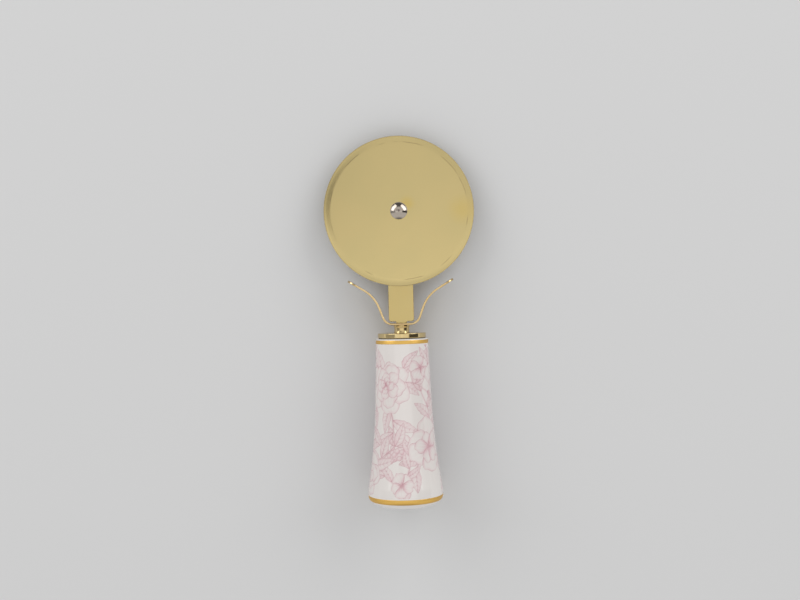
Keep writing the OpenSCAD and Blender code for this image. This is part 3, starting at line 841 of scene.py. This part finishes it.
class MakeCollar(bpy.types.Operator):
    """Neck and collar: a turned spool with a hollow waist, on a round plate with rolled edges"""

    bl_idname = "pizza_cutter.make_collar"
    bl_label = "Neck and collar"

    def execute(self, context):
        sizes, metal = context.scene.cutter_collar, context.scene.cutter_metal
        gold = polished_gold("gold_polish", metal.polished, metal.polished_deep)
        bottom, high, outer = COLLAR_LOW[1], COLLAR_HIGH[1], COLLAR_HIGH[0]
        low = bottom + sizes.spigot_length
        corners = [(0, bottom), (sizes.spigot, bottom), (sizes.spigot, low), (outer, low), (outer, high),
                   (0, high)]
        radii = [0, sizes.edge / 2, 0.3 * sizes.edge, sizes.edge, sizes.edge, 0]
        plate = revolve("collar_disc", rounded(corners, radii, steps=10), round_handle, sizes.steps)
        finish_piece(plate, FIXED, "polished_gold", gold, "collar_plate")
        rise = np.linspace(0, 1, WAIST_POINTS)
        rim, bottom, top = NECK_HIGH[0], NECK_LOW[1], NECK_HIGH[1]
        rim_low = top - sizes.rim_height
        waist = np.stack([sizes.waist - sizes.hollow * 4 * rise * (1 - rise),
                          bottom + (rim_low - bottom) * rise], 1)
        corners = [tuple(waist[-1]), (rim, waist[-1, 1]), (rim, top), (0, top)]
        upper = rounded(corners, [0, sizes.softening, sizes.softening, 0], steps=6)
        profile = np.concatenate([[(0, bottom)], waist[:-1], upper])
        spool = revolve("neck_turning", profile, round_handle, sizes.steps)
        finish_piece(spool, FIXED, "polished_gold", gold, "neck_spool")
        return {"FINISHED"}


def flare_radius(sizes, height):
    """The handle's radius above its widest line: a straight taper from the mouth, to which a parabola is
    added below the waist. A curve with one control point leads it into the upright heel."""
    taper = (sizes.waist - sizes.top) / sizes.flare_start
    flare_level = HANDLE_TOP - sizes.flare_start
    stretch = flare_level - sizes.heel_height - sizes.heel_blend
    gain = (sizes.heel - sizes.waist - taper * stretch) / stretch**2
    end = sizes.heel_height + 1.5 * sizes.heel_blend
    end_radius = sizes.top + taper * (HANDLE_TOP - end) + gain * (flare_level - end)**2
    control = end - (sizes.heel - end_radius) / (taper + 2 * gain * (flare_level - end))
    bow, lean = sizes.heel_height - 2 * control + end, control - sizes.heel_height
    blended = np.clip(height, sizes.heel_height, end)
    t = (np.sqrt(lean**2 - bow * (sizes.heel_height - blended)) - lean) / bow
    flared = sizes.top + taper * (HANDLE_TOP - height) + gain * np.clip(flare_level - height, 0, None)**2
    return np.where(height < end, sizes.heel * (1 - t**2) + end_radius * t**2, flared)


def heel_dome(sizes, steps):
    """The rounded end from the foot's rim to the widest line: a superellipse, in even turns."""
    power = sizes.dome_power
    rise = sizes.heel_height / (1 - (sizes.foot / sizes.heel)**power)**(1 / power)
    turn = np.linspace(math.asin((sizes.foot / sizes.heel)**(power / 2)), QUARTER, steps)
    return np.stack([sizes.heel * np.sin(turn)**(2 / power),
                     sizes.heel_height - rise * np.cos(turn)**(2 / power)], 1)


def handle_outside(sizes, heights):
    """The handle's outer radius at heights above its foot."""
    dome = heel_dome(sizes, 400)
    return np.where(heights < sizes.heel_height, np.interp(heights, dome[:, 1], dome[:, 0]),
                    flare_radius(sizes, heights))


class PrintSheet:
    """The handle's face unrolled: at each grid point the distance to the nearest drawn line, that line's
    tone and the wash."""

    def __init__(self, angles, heights, radii, look):
        self.angles, self.heights, self.radii, self.look = angles, heights, radii, look
        self.ink = np.full((len(heights), len(angles)), NO_LINE)
        self.tone = np.zeros(self.ink.shape)
        self.wash = np.zeros(self.ink.shape)

    def patch(self, angle, height, reach):
        """The rows and columns within reach of a place, and their distances from it round and along the
        handle."""
        rows = np.flatnonzero(np.abs(self.heights - height) < reach)
        turns = (self.angles - angle + math.pi) % TURN - math.pi
        away = np.abs(turns) * np.interp(height, self.heights, self.radii)
        columns = np.flatnonzero(away < ROUND_MARGIN * reach)
        columns = columns[np.argsort(turns[columns])]
        x = turns[columns][None, :] * self.radii[rows][:, None]
        y = np.broadcast_to((self.heights[rows] - height)[:, None], x.shape)
        return np.ix_(rows, columns), x, y

    def beside(self, angle, height, x, y):
        """The place that lies x round and y along the handle from another."""
        return angle + x / np.interp(height + y, self.heights, self.radii), height + y

    def draw(self, place, lines, tone):
        """Draws open lines. lines is the distance to the nearest one, less its half width."""
        nearer = lines < self.ink[place]
        self.ink[place] = np.where(nearer, lines, self.ink[place])
        self.tone[place] = np.where(nearer, tone, self.tone[place])

    def lay(self, place, x, y, form, lines, wash, tone, inner=0.55):
        """Lays a closed motif over what is under it. form is negative inside it, and form over the length
        of its slope is the distance to the outline, beside which the wash deepens."""
        if min(form.shape) < 3:
            return
        slope = np.hypot(np.gradient(form, axis=1) / np.gradient(x, axis=1),
                         np.gradient(form, axis=0) / np.gradient(y, axis=0))
        away = form / np.maximum(slope, LEAST_SLOPE)
        inside = form < 0
        wash = np.clip(wash + EDGE_WASH * tone * bell(away, self.look.shade), 0, 1)
        self.ink[place] = np.where(inside, NO_LINE, self.ink[place])
        self.wash[place] = np.where(inside, wash, self.wash[place])
        self.draw(place, np.where(inside, lines, NO_LINE), inner)
        self.draw(place, np.abs(away) - self.look.line, tone)

    def cloud(self, angle, height, reach, depth):
        """A soft wash round a place, as a bell curve of the distance."""
        place, x, y = self.patch(angle, height, 2 * reach)
        self.wash[place] += depth * bell(np.hypot(x, y), reach)


FULL_FACE = (0.0, 1.0)
# Radians from one place of a whorl to the next
WHORL = 2.4
# Shares of a petal's length, waves across it and shifts by its seed
RUFFLES = ((0.035, 9, 5), (0.02, 17, 9))
# Places of a petal's fine lines, as shares of its half width
PETAL_LINES = (-0.66, -0.36, -0.08, 0.22, 0.47, 0.72)
# The least slope of a motif's form that its outline is measured with, and the depth of the wash beside that
LEAST_SLOPE = 0.3
EDGE_WASH = 0.62


def bell(value, width):
    """A bell curve: e to minus the square of value over width."""
    return np.exp(-(value / width)**2)


def scatter(k, seed, low=0.0, high=1.0):
    """An even-looking number from low to high for each k: the fraction left by a steep sine."""
    return low + (high - low) * np.modf(np.abs(np.sin(k * 12.9898 + seed * 78.233)) * 437.585)[0]


def along_and_aside(x, y, turn, view):
    """Coordinates along and beside a heading, on a face that is foreshortened to a share along a
    direction."""
    direction, shown = view
    u = (x * math.cos(direction) + y * math.sin(direction)) / shown
    v = y * math.cos(direction) - x * math.sin(direction)
    return (u * math.cos(direction - turn) - v * math.sin(direction - turn),
            u * math.sin(direction - turn) + v * math.cos(direction - turn))


def tapered(width, way, skew, fullness):
    """Half the width of a petal or leaf: a sine of a power of the way along it, raised to a second power."""
    return width / 2 * np.sin(math.pi * way**skew)**fullness


def enclosed(along, aside, half, length):
    """The form of a petal or leaf: how far a point lies past its half width, foot or end, below zero
    inside."""
    return np.maximum(np.abs(aside) - half, np.maximum(-along, along - length))


def draw_petal(sheet, spot, turn, length, width, seed, view=FULL_FACE, depth=1.0):
    """A petal along turn, broad at its end, with its length ruffled by two sines. Fine lines keep a share
    of the half width from its foot up to differing lengths, and the wash is deepest at the foot."""
    place, x, y = sheet.patch(*spot, PATCH_MARGIN * length)
    along, aside = along_and_aside(x, y, turn, view)
    fan = np.arctan2(aside, along)
    ruffle = sum(share * np.sin(waves * fan + shift * seed) for share, waves, shift in RUFFLES)
    ruffled = length * (1 + ruffle)
    way = np.clip(along / ruffled, 0, 1)
    aside = aside - scatter(1, seed, -0.15, 0.15) * length * way**2
    half = tapered(width, way, skew=1.4, fullness=0.6)
    share = aside / (half + HAIR)
    lines = np.full(x.shape, NO_LINE)
    for k, at in enumerate(PETAL_LINES):
        tall = scatter(k, seed, 0.25, 0.85)
        line = np.abs(share - at) * half - sheet.look.fine * (1.15 - way / tall)
        lines = np.minimum(lines, np.where(way < tall, line, NO_LINE))
    foot = bell(way, 0.36)
    streak = 0.5 + 0.5 * np.sin(15 * share + 7 * seed)
    wash = depth * (foot * (0.55 + 0.42 * streak) + 0.28 * streak * bell(way, 0.8) + 0.04)
    tone = 0.52 + 0.45 * foot + 0.34 * np.sin(5 * fan + 3 * seed)**2
    form = enclosed(along, aside, half, ruffled)
    sheet.lay(place, x, y, form, lines, wash, tone, 0.38 + 0.45 * foot)


def draw_leaf(sheet, spot, turn, length, width, seed):
    """A pointed leaf along turn, with a slight wave in its edge and a middle line that bows to one side. A
    midrib runs along it, fine veins sweep forward from that at an even step, and the wash is deepest
    beside the midrib and on one side."""
    place, x, y = sheet.patch(*spot, PATCH_MARGIN * length)
    along, aside = along_and_aside(x, y, turn, FULL_FACE)
    way = np.clip(along / length, 0, 1)
    aside = aside - scatter(1, seed, -0.4, 0.4) * length * way**2
    half = tapered(width, way, skew=0.82, fullness=0.9) * (1 + 0.05 * np.sin(26 * way + seed))
    share = np.abs(aside) / (half + HAIR)
    rib = np.abs(aside) - sheet.look.line * (1.3 - way)
    veins = 6
    sweep = veins * (way - 0.9 * np.abs(aside) / length)
    vein = np.abs(sweep - np.round(sweep)) * length / veins * 0.7 - sheet.look.fine * (0.95 - share)
    wash = bell(share, 0.4) * 0.36 + np.where(aside > 0, 0.28, 0.04) * (1.2 - way)
    wash = wash + 0.20 * np.cos(math.pi * sweep)**8 * (1 - 0.7 * share)
    form = enclosed(along, aside, half, length)
    tone = 0.54 + 0.32 * np.exp(-way / 0.3) + 0.26 * np.sin(7 * way + 3 * seed)**2
    sheet.lay(place, x, y, form, np.minimum(rib, vein), wash, tone, np.where(rib < vein, 0.85, 0.58))


def draw_stem(sheet, spot, path, thick):
    """A stem along a path of points off a place: the distance to its nearest stretch, less half its
    thickness, which thins out to a third at its end. A soft wash lies along it."""
    margin, far, wash_reach = 3 * MM, 9 * MM, 0.7 * MM
    middle = path.mean(0)
    place, x, y = sheet.patch(*sheet.beside(*spot, *middle), np.abs(path - middle).max() + margin)
    here, path = np.stack([x, y], 2), path - middle
    form = np.full(x.shape, far)
    for k, (a, b) in enumerate(zip(path[:-1], path[1:])):
        step = b - a
        t = np.clip(((here - a) @ step) / (step @ step + 1e-12), 0, 1)
        gap = np.linalg.norm(here - a - t[..., None] * step, axis=2)
        form = np.minimum(form, gap - thick / 2 * (1 - 0.67 * k / len(path)))
    wash = 0.5 * bell(np.clip(form, 0, None), wash_reach)
    sheet.wash[place] = np.maximum(sheet.wash[place], wash)
    sheet.draw(place, form, 0.8)


def whorl(k, spread):
    """Place k of a whorl, round and along: it lies at the root of k times the spread."""
    reach = spread * math.sqrt(k)
    return reach * math.cos(WHORL * k), reach * math.sin(WHORL * k)


def draw_dots(sheet, spot, size, spread, dots, tone=0.8):
    """Dots in a whorl round a place."""
    for k in range(dots):
        place, x, y = sheet.patch(*sheet.beside(*spot, *whorl(k, spread)), 3 * size + MM)
        sheet.draw(place, np.hypot(x, y) - size, tone)


def draw_berry(sheet, spot):
    """A round berry, shaded on one side and with a dot at its eye."""
    size = 1.35 * MM
    place, x, y = sheet.patch(*spot, 2 * size)
    wash = 0.15 + 0.6 * np.clip((x - y) / (2 * size) + 0.3, 0, 1)
    eye = np.hypot(x + 0.3 * size, y - 0.3 * size) - 0.12 * MM
    sheet.lay(place, x, y, np.hypot(x, y) - size, eye, wash, np.full(x.shape, 0.75))


FULL_BLOOM = ((1.00, 6, 0.82), (0.76, 5, 0.86), (0.54, 5, 0.84), (0.34, 4, 0.90), (0.18, 3, 1.00))
OPEN_BLOOM = ((1.00, 5, 1.06), (0.62, 5, 0.80))


def draw_bloom(sheet, spot, size, turn, view, rings, dots):
    """A flower seen aslant: rings of petals that shrink and shift towards its far side, and a whorl of
    stamens."""
    for ring, (reach, petals, broad) in enumerate(rings):
        shift = 0.14 * size * (1 - reach)
        centre = sheet.beside(*spot, shift * math.cos(view[0]), shift * math.sin(view[0]))
        for k in range(petals):
            seed = turn + 7 * ring + k
            heading = turn + (k + 0.5 * (ring % 2) + scatter(k, seed, 0, 0.24)) * TURN / petals
            long = size * reach * scatter(k, seed + 1, 0.88, 1.10)
            draw_petal(sheet, centre, heading, long, broad * long, seed, view, 0.85 + 0.12 * ring)
    draw_dots(sheet, centre, 0.15 * MM, 0.035 * size, dots)


def draw_spray(sheet, spot, turn, length, bend, sway, leaves, leaf, end):
    """A stem that leaves a place along turn, bends evenly and sways by a sine, with leaves on alternate
    sides that grow smaller towards its end, and a bud, berries or a leaf there."""
    steps = 28
    t = np.linspace(0, 1, steps + 1)
    heading = turn + bend * t + sway * np.sin(TURN * t)
    move = length / steps * np.stack([np.cos(heading), np.sin(heading)], 1)
    path = np.concatenate([[(0, 0)], np.cumsum(move, 0)[:-1]])
    draw_stem(sheet, spot, path, 0.75 * MM)
    for k in range(leaves):
        at = int((0.34 + 0.56 * k / leaves) * steps)
        size = leaf * (1.0 - 0.3 * k / leaves) * scatter(k, turn, 0.85, 1.15)
        lean = scatter(k, length / MM, 0.62, 0.97) * (1 if k % 2 else -1)
        draw_leaf(sheet, sheet.beside(*spot, *path[at]), heading[at] + lean, size, 0.42 * size, k + turn)
    tip = sheet.beside(*spot, *path[-1])
    if end == "leaf":
        draw_leaf(sheet, tip, heading[-1], 0.95 * leaf, 0.38 * leaf, turn)
    if end == "bud":
        for offset in (0.26, -0.26, 0.0):
            draw_petal(sheet, tip, heading[-1] + offset, 0.72 * leaf, 0.34 * leaf, turn + offset)
        for offset in (0.55, -0.55, 0.08):
            draw_leaf(sheet, tip, heading[-1] + offset, 0.34 * leaf, 0.12 * leaf, turn)
    if end == "berries":
        for k in range(9, -1, -1):
            draw_berry(sheet, sheet.beside(*tip, *whorl(k, 1.7 * MM)))


BLOOMS = (
    (-32, 73, 17.0, 0.5, 2.6, 0.86, FULL_BLOOM, 5), (46, 38, 16.0, 1.1, -0.6, 0.88, OPEN_BLOOM, 22),
    (104, 74, 16.0, 0.2, 0.7, 0.86, FULL_BLOOM, 5), (172, 34, 17.5, 0.9, 2.2, 0.86, FULL_BLOOM, 5),
    (-134, 70, 15.0, 0.3, 1.0, 0.90, OPEN_BLOOM, 22), (-86, 22, 16.0, 0.8, -2.2, 0.86, FULL_BLOOM, 5),
)
SMALL_BLOOMS = (
    (40, 84, 8.0, 0.4, 1.4, 0.90), (-6, 16, 7.5, 0.9, -1.0, 0.90), (88, 12, 7.0, 0.1, 0.3, 0.92),
    (150, 84, 7.5, 0.7, 2.0, 0.90), (112, 40, 7.0, 0.2, 2.0, 0.92), (-166, 84, 7.0, 0.5, 0.5, 0.92),
    (-112, 46, 7.5, 0.3, 2.8, 0.90), (-136, 14, 7.0, 0.8, 0.4, 0.92), (-92, 90, 6.5, 0.2, 1.2, 0.92),
)
SPRAYS = {
    (46, 38): (
        (2.9, 30, 0.3, 0.3, 3, 17, "leaf"), (-2.5, 26, 0.6, 0.2, 2, 17, "leaf"),
        (1.4, 34, 0.5, -0.3, 3, 15, "leaf"), (-0.5, 26, -0.7, 0.2, 2, 16, "leaf"),
    ),
    (-32, 73): (
        (0.9, 24, -0.5, 0.2, 2, 14, "leaf"), (0.1, 28, -0.5, 0.3, 2, 13, "bud"),
        (-2.6, 28, 0.7, 0.2, 2, 16, "leaf"), (2.0, 26, 0.6, 0.2, 2, 14, "leaf"),
        (-1.75, 40, 0.6, 0.3, 3, 16, "berries"),
    ),
    (-6, 16): (
        (0.9, 18, 0.8, 0.0, 2, 12, "leaf"), (2.9, 20, -0.8, 0.0, 2, 13, "leaf"),
    ),
    (104, 74): (
        (-2.2, 28, 0.7, 0.2, 2, 16, "bud"), (-0.7, 30, -0.6, 0.3, 3, 15, "leaf"),
        (2.4, 26, -0.7, 0.2, 2, 14, "leaf"),
    ),
    (172, 34): (
        (2.5, 30, -0.6, 0.3, 3, 15, "leaf"), (0.9, 32, 0.7, 0.3, 3, 15, "bud"),
        (-0.8, 26, 0.6, 0.2, 2, 15, "leaf"), (-2.5, 26, 0.5, 0.2, 2, 15, "leaf"),
    ),
    (-134, 70): (
        (-1.2, 28, 0.6, 0.2, 2, 15, "leaf"), (2.2, 24, -0.7, 0.2, 2, 14, "bud"),
        (0.6, 22, 0.6, 0.0, 2, 13, "leaf"),
    ),
    (-86, 22): (
        (1.5, 30, 0.6, 0.3, 3, 15, "berries"), (0.3, 28, 0.7, 0.2, 2, 15, "leaf"),
        (-2.8, 24, -0.6, 0.2, 2, 14, "leaf"),
    ),
}


def at_place(degrees, height):
    """A place on the handle, from degrees round from the front and millimetres above the foot."""
    return math.radians(degrees), height * MM


def draw_print(sheet):
    """A generic garden pattern, laid out one by one: soft clouds of wash, then sprays that start under the
    flowers, then small and large flowers. Flower rows start with a place, and go on with size, turn, and
    the direction and share of foreshortening. Sprays are listed by the place that they start from, each
    with its turn, length, bend, sway, number and size of leaves, and what ends it."""
    for degrees, height, size, *_ in BLOOMS:
        sheet.cloud(*at_place(degrees, height), 1.2 * size * MM, 0.10)
    for spot, sprays in SPRAYS.items():
        for turn, long, bend, sway, leaves, leaf, end in sprays:
            draw_spray(sheet, at_place(*spot), turn, long * MM, bend, sway, leaves, leaf * MM, end)
    small = [(*row, OPEN_BLOOM[:1], 9) for row in SMALL_BLOOMS]
    for degrees, height, size, turn, direction, shown, rings, dots in (*small, *BLOOMS):
        spot, view = at_place(degrees, height), (direction, shown)
        draw_bloom(sheet, spot, size * MM, turn, view, rings, dots)


class MakeHandle(bpy.types.Operator):
    """Handle: a hollow porcelain turning with a flared body, a domed end and a line print under its glaze"""

    bl_idname = "pizza_cutter.make_handle"
    bl_label = "Handle"

    def execute(self, context):
        sizes, look = context.scene.cutter_handle, context.scene.cutter_print
        lip_low = HANDLE_TOP - sizes.lip
        heights = np.linspace(sizes.heel_height, lip_low, sizes.rows)
        body = np.stack([flare_radius(sizes, heights), heights], 1)
        tilt = np.linspace(0, QUARTER, LIP_POINTS)[1:]
        lip = np.stack([body[-1, 0] - sizes.lip * (1 - np.cos(tilt)), lip_low + sizes.lip * np.sin(tilt)], 1)
        outside = np.concatenate([[(0, 0)], heel_dome(sizes, HEEL_POINTS), body[1:], lip])
        socket = HANDLE_TOP - sizes.socket
        depths = np.linspace(socket - sizes.ramp, sizes.floor + sizes.wall, HOLLOW_POINTS)
        hollow = np.stack([np.minimum(flare_radius(sizes, depths), sizes.heel) - sizes.wall, depths], 1)
        inside = [(sizes.mouth + sizes.chamfer, HANDLE_TOP), (sizes.mouth, HANDLE_TOP - sizes.chamfer),
                  (sizes.mouth, socket), *hollow, (hollow[-1, 0], sizes.floor), (0, sizes.floor)]
        inside = rounded(inside, [*[0] * (len(inside) - 2), 0.9 * sizes.wall, 0], steps=5)
        profile = np.concatenate([outside, inside])
        piece = revolve("handle_porcelain", profile, round_handle, sizes.columns)
        angles = np.arange(sizes.columns) * TURN / sizes.columns
        sheet = PrintSheet(angles, outside[1:, 1], outside[1:, 0], look)
        draw_print(sheet)
        low = span("lower_gilt_band")[1][1] + look.margin
        high = span("upper_gilt_band")[0][1] - look.margin
        bare = (outside[1:, 1] < low) | (outside[1:, 1] > high)
        sheet.ink[bare], sheet.wash[bare] = NO_LINE, 0
        for name, blank in zip(PRINT_LAYERS, (NO_LINE, 0, 0)):
            values = getattr(sheet, name)
            full = np.full(len(piece.data.vertices), blank, float)
            full[1:1 + values.size] = values.ravel()
            piece.data.attributes.new(name, "FLOAT", "POINT").data.foreach_set("value", full)
        finish_piece(piece, FIXED, "porcelain", printed_porcelain(look), "handle")
        return {"FINISHED"}


class MakeGilding(bpy.types.Operator):
    """Gilding: two fired bands that follow the porcelain and thin out at both edges"""

    bl_idname = "pizza_cutter.make_gilding"
    bl_label = "Gilding"

    def execute(self, context):
        sizes = context.scene.cutter_handle
        gold = fired_gilding(context.scene.cutter_metal)
        for node in ("lower_gilt_band", "upper_gilt_band"):
            low, high = span(node)
            way = np.linspace(0, 1, BAND_POINTS)
            heights = low[1] + (high[1] - low[1]) * way
            under = np.stack([handle_outside(sizes, heights), heights], 1)
            lift = sizes.gilding * (1 - np.abs(2 * way - 1)**6)
            over = under + lift[:, None] * outline_normals(under)
            profile = np.concatenate([over, under[-2:0:-1]])
            piece = revolve(node + "_gold", profile, round_handle, sizes.columns, closed=True)
            finish_piece(piece, FIXED, "gilding", gold, node)
        return {"FINISHED"}


class DressHidden(bpy.types.Operator):
    """Washer, seal, cement and stopper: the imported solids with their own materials"""

    bl_idname = "pizza_cutter.dress_hidden"
    bl_label = "Washer, seal, cement and stopper"

    def execute(self, context):
        stuffs = {
            "blade_washer": ("acetal", (0.78, 0.76, 0.68), (0.72, 0.70, 0.62), 900.0, 0.35, 1e-5),
            # The seal's near-black colour is partly its own rubber and partly painted shade, standing in for
            # the shadow line under the collar
            "collar_seal": ("moulded_rubber", (0.10, 0.10, 0.09), (0.06, 0.06, 0.055), 1500.0, 0.70, 2e-5),
            "bonding_cement": ("cement_grout", (0.50, 0.47, 0.42), (0.38, 0.36, 0.32), 700.0, 0.80, 8e-5),
            "socket_stopper": ("pressed_cork", (0.50, 0.30, 0.15), (0.30, 0.16, 0.08), 600.0, 0.78, 1e-4),
        }
        for node, values in stuffs.items():
            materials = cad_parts[node].data.materials
            materials.clear()
            materials.append(plain_stuff(*values))
        return {"FINISHED"}


def floor_plane(sizes):
    """Slope and level of the plane that the cutter lies on, as a table touches the handle's side."""
    heights = np.linspace(sizes.heel_height, span("upper_gilt_band")[1][1], 60)
    under = -handle_outside(sizes, heights) - sizes.gilding
    slope = (under[-1] - under[0]) / (heights[-1] - heights[0])
    return slope, (under - slope * heights).min()


class MakeStage(bpy.types.Operator):
    """Stage: camera, plain pale floor, two soft boxes and plain surroundings"""

    bl_idname = "pizza_cutter.make_stage"
    bl_label = "Stage"

    def execute(self, context):
        scene, stage = context.scene, context.scene.cutter_stage
        camera = bpy.data.objects.new("camera", bpy.data.cameras.new("camera"))
        camera.location = (-stage.eye_across, stage.eye_along, stage.eye_height)
        camera.rotation_euler = (0, 0, stage.roll)
        camera.data.sensor_width, camera.data.lens = 36.0, stage.lens
        scene.collection.objects.link(camera)
        scene.camera = camera
        slope, level = floor_plane(scene.cutter_handle)
        corners = stage.floor_size * np.array([(-1, -1), (1, -1), (1, 1), (-1, 1)])
        corners = np.column_stack([corners, level + slope * corners[:, 1]])
        mesh = bpy.data.meshes.new("floor")
        mesh.from_pydata(corners.tolist(), [], [(0, 1, 2, 3)])
        surface = Surface("pale_floor")
        surface.set(Base_Color=rgba(stage.floor_colour), Roughness=0.9, Specular_IOR_Level=0.1)
        mesh.materials.append(surface.material)
        floor = bpy.data.objects.new("floor", mesh)
        scene.collection.objects.link(floor)
        middle = (Vector(CAD_BOX[0]) + Vector(CAD_BOX[1])) / 2
        flat = math.cos(stage.box_rise)
        for side in (-1, 1):
            direction = Vector((side * flat * math.sin(stage.box_swing), flat * math.cos(stage.box_swing),
                                math.sin(stage.box_rise)))
            lamp = bpy.data.lights.new("soft_box", "AREA")
            lamp.shape, lamp.energy = "RECTANGLE", stage.box_power
            lamp.size, lamp.size_y = stage.box_width, stage.box_height
            box = bpy.data.objects.new("soft_box", lamp)
            box.location = middle + direction * stage.box_distance
            box.rotation_euler = direction.to_track_quat("Z", "Y").to_euler()
            scene.collection.objects.link(box)
        make_surroundings(scene, stage)
        scene.view_settings.view_transform = "Standard"
        return {"FINISHED"}


# Stretches of directions over which the reflected room changes: x to the right, y along the handle, z up
AHEAD = (-0.02, 0.12)
ASIDE = (0.02, 0.10)
LOW = (-0.07, -0.24)
RIM = (-0.80, -0.96)
WEDGE = (0.55, 0.74)
TO_FOOT = (0.0, -0.7)
SHADE_NEAR, SHADE_FAR = (-0.05, -0.19), (-0.40, -0.30)
SHADE_AHEAD, SHADE_HALF, SHADE_UP = 0.14, (0.14, 0.02), (0.3, 0.6)
FLAG_ASIDE, FLAG_LOW, FLAG_HIGH, FLAG_UP = (0.50, 0.60), (-0.28, -0.18), (0.10, 0.0), (0.02, 0.14)
FLAG_LEFT, FLAG_LEFT_SHARE = (-0.1, 0.1), 0.65


def make_surroundings(scene, stage):
    """A plain level, brighter beyond the handle's end, that lights everything, and a pale backdrop.
    Reflections alone see a room that is brightest above the handle, with a dark wedge between the soft
    boxes, a soft shade to the left and a thin flag at each side."""
    scene.world = bpy.data.worlds.new("plain_surroundings")
    scene.world.use_nodes = True
    wiring = Wiring(scene.world.node_tree)
    direction = wiring.node("TexCoord")
    x, y, z = (wiring.part(direction, axis) for axis in range(3))
    across = wiring.math("ABSOLUTE", x)
    room = wiring.between(y, *AHEAD, stage.near_level, stage.far_level)
    room = wiring.product(room, wiring.between(across, *ASIDE, 1.0, stage.side_share))
    for stretch, level in ((LOW, stage.low_level), (RIM, stage.rim_level), (WEDGE, stage.wedge_level)):
        room = wiring.blend(wiring.between(y, *stretch), room, level)
    from_shade = wiring.math("ABSOLUTE", wiring.math("SUBTRACT", y, SHADE_AHEAD))
    shade = wiring.product(wiring.between(x, *SHADE_NEAR), wiring.between(x, *SHADE_FAR),
                           wiring.between(from_shade, *SHADE_HALF), wiring.between(z, *SHADE_UP))
    room = wiring.blend(shade, room, stage.shade_level)
    flag = wiring.product(wiring.between(across, *FLAG_ASIDE), wiring.between(y, *FLAG_LOW),
                          wiring.between(y, *FLAG_HIGH), wiring.between(z, *FLAG_UP),
                          wiring.between(x, *FLAG_LEFT, FLAG_LEFT_SHARE, 1.0))
    room = wiring.blend(flag, room, stage.flag_level)
    path = wiring.tree.nodes.new("ShaderNodeLightPath").outputs
    spread = wiring.between(y, *TO_FOOT, stage.level, stage.foot_light)
    light = wiring.blend(path["Is Glossy Ray"], spread, room)
    background = scene.world.node_tree.nodes["Background"]
    background.inputs["Color"].default_value = (1, 1, 1, 1)
    wiring.fill(background.inputs["Strength"], wiring.blend(path["Is Camera Ray"], light, stage.backdrop))


GROUPS = {
    "cutter_blade": BladeSettings, "cutter_arm": ArmSettings, "cutter_guard": GuardSettings,
    "cutter_collar": CollarSettings, "cutter_handle": HandleSettings, "cutter_print": PrintSettings,
    "cutter_metal": MetalSettings, "cutter_stage": StageSettings,
}
OPERATORS = (
    MakeStage, MakeBlade, MakeRivet, MakeArm, MakeGuard, MakeCollar, MakeHandle, MakeGilding, DressHidden,
)


class CutterPanel(bpy.types.Panel):
    """Sidebar panel with the cutter's sizes and the buttons that make its pieces"""

    bl_idname = "VIEW3D_PT_pizza_cutter"
    bl_label = "Pizza Cutter"
    bl_space_type = "VIEW_3D"
    bl_region_type = "UI"
    bl_category = "Pizza Cutter"

    def draw(self, context):
        for name, group in GROUPS.items():
            box = self.layout.box()
            for key in group.__annotations__:
                box.prop(getattr(context.scene, name), key)
        for operator in OPERATORS:
            self.layout.operator(operator.bl_idname)


CLASSES = (*GROUPS.values(), *OPERATORS, CutterPanel)


def register():
    """Registers the classes and hangs the settings on the scene."""
    for item in CLASSES:
        bpy.utils.register_class(item)
    for name, group in GROUPS.items():
        setattr(bpy.types.Scene, name, bpy.props.PointerProperty(type=group))


def unregister():
    """Takes the settings and the classes away again."""
    for name in GROUPS:
        delattr(bpy.types.Scene, name)
    for item in reversed(CLASSES):
        bpy.utils.unregister_class(item)


def main():
    """Makes every piece and the stage."""
    register()
    bpy.ops.pizza_cutter.make_stage()
    bpy.ops.pizza_cutter.make_blade()
    bpy.ops.pizza_cutter.make_rivet()
    bpy.ops.pizza_cutter.make_arm()
    bpy.ops.pizza_cutter.make_guard()
    bpy.ops.pizza_cutter.make_collar()
    bpy.ops.pizza_cutter.make_handle()
    bpy.ops.pizza_cutter.make_gilding()
    bpy.ops.pizza_cutter.dress_hidden()


if __name__ == "__main__":
    main()
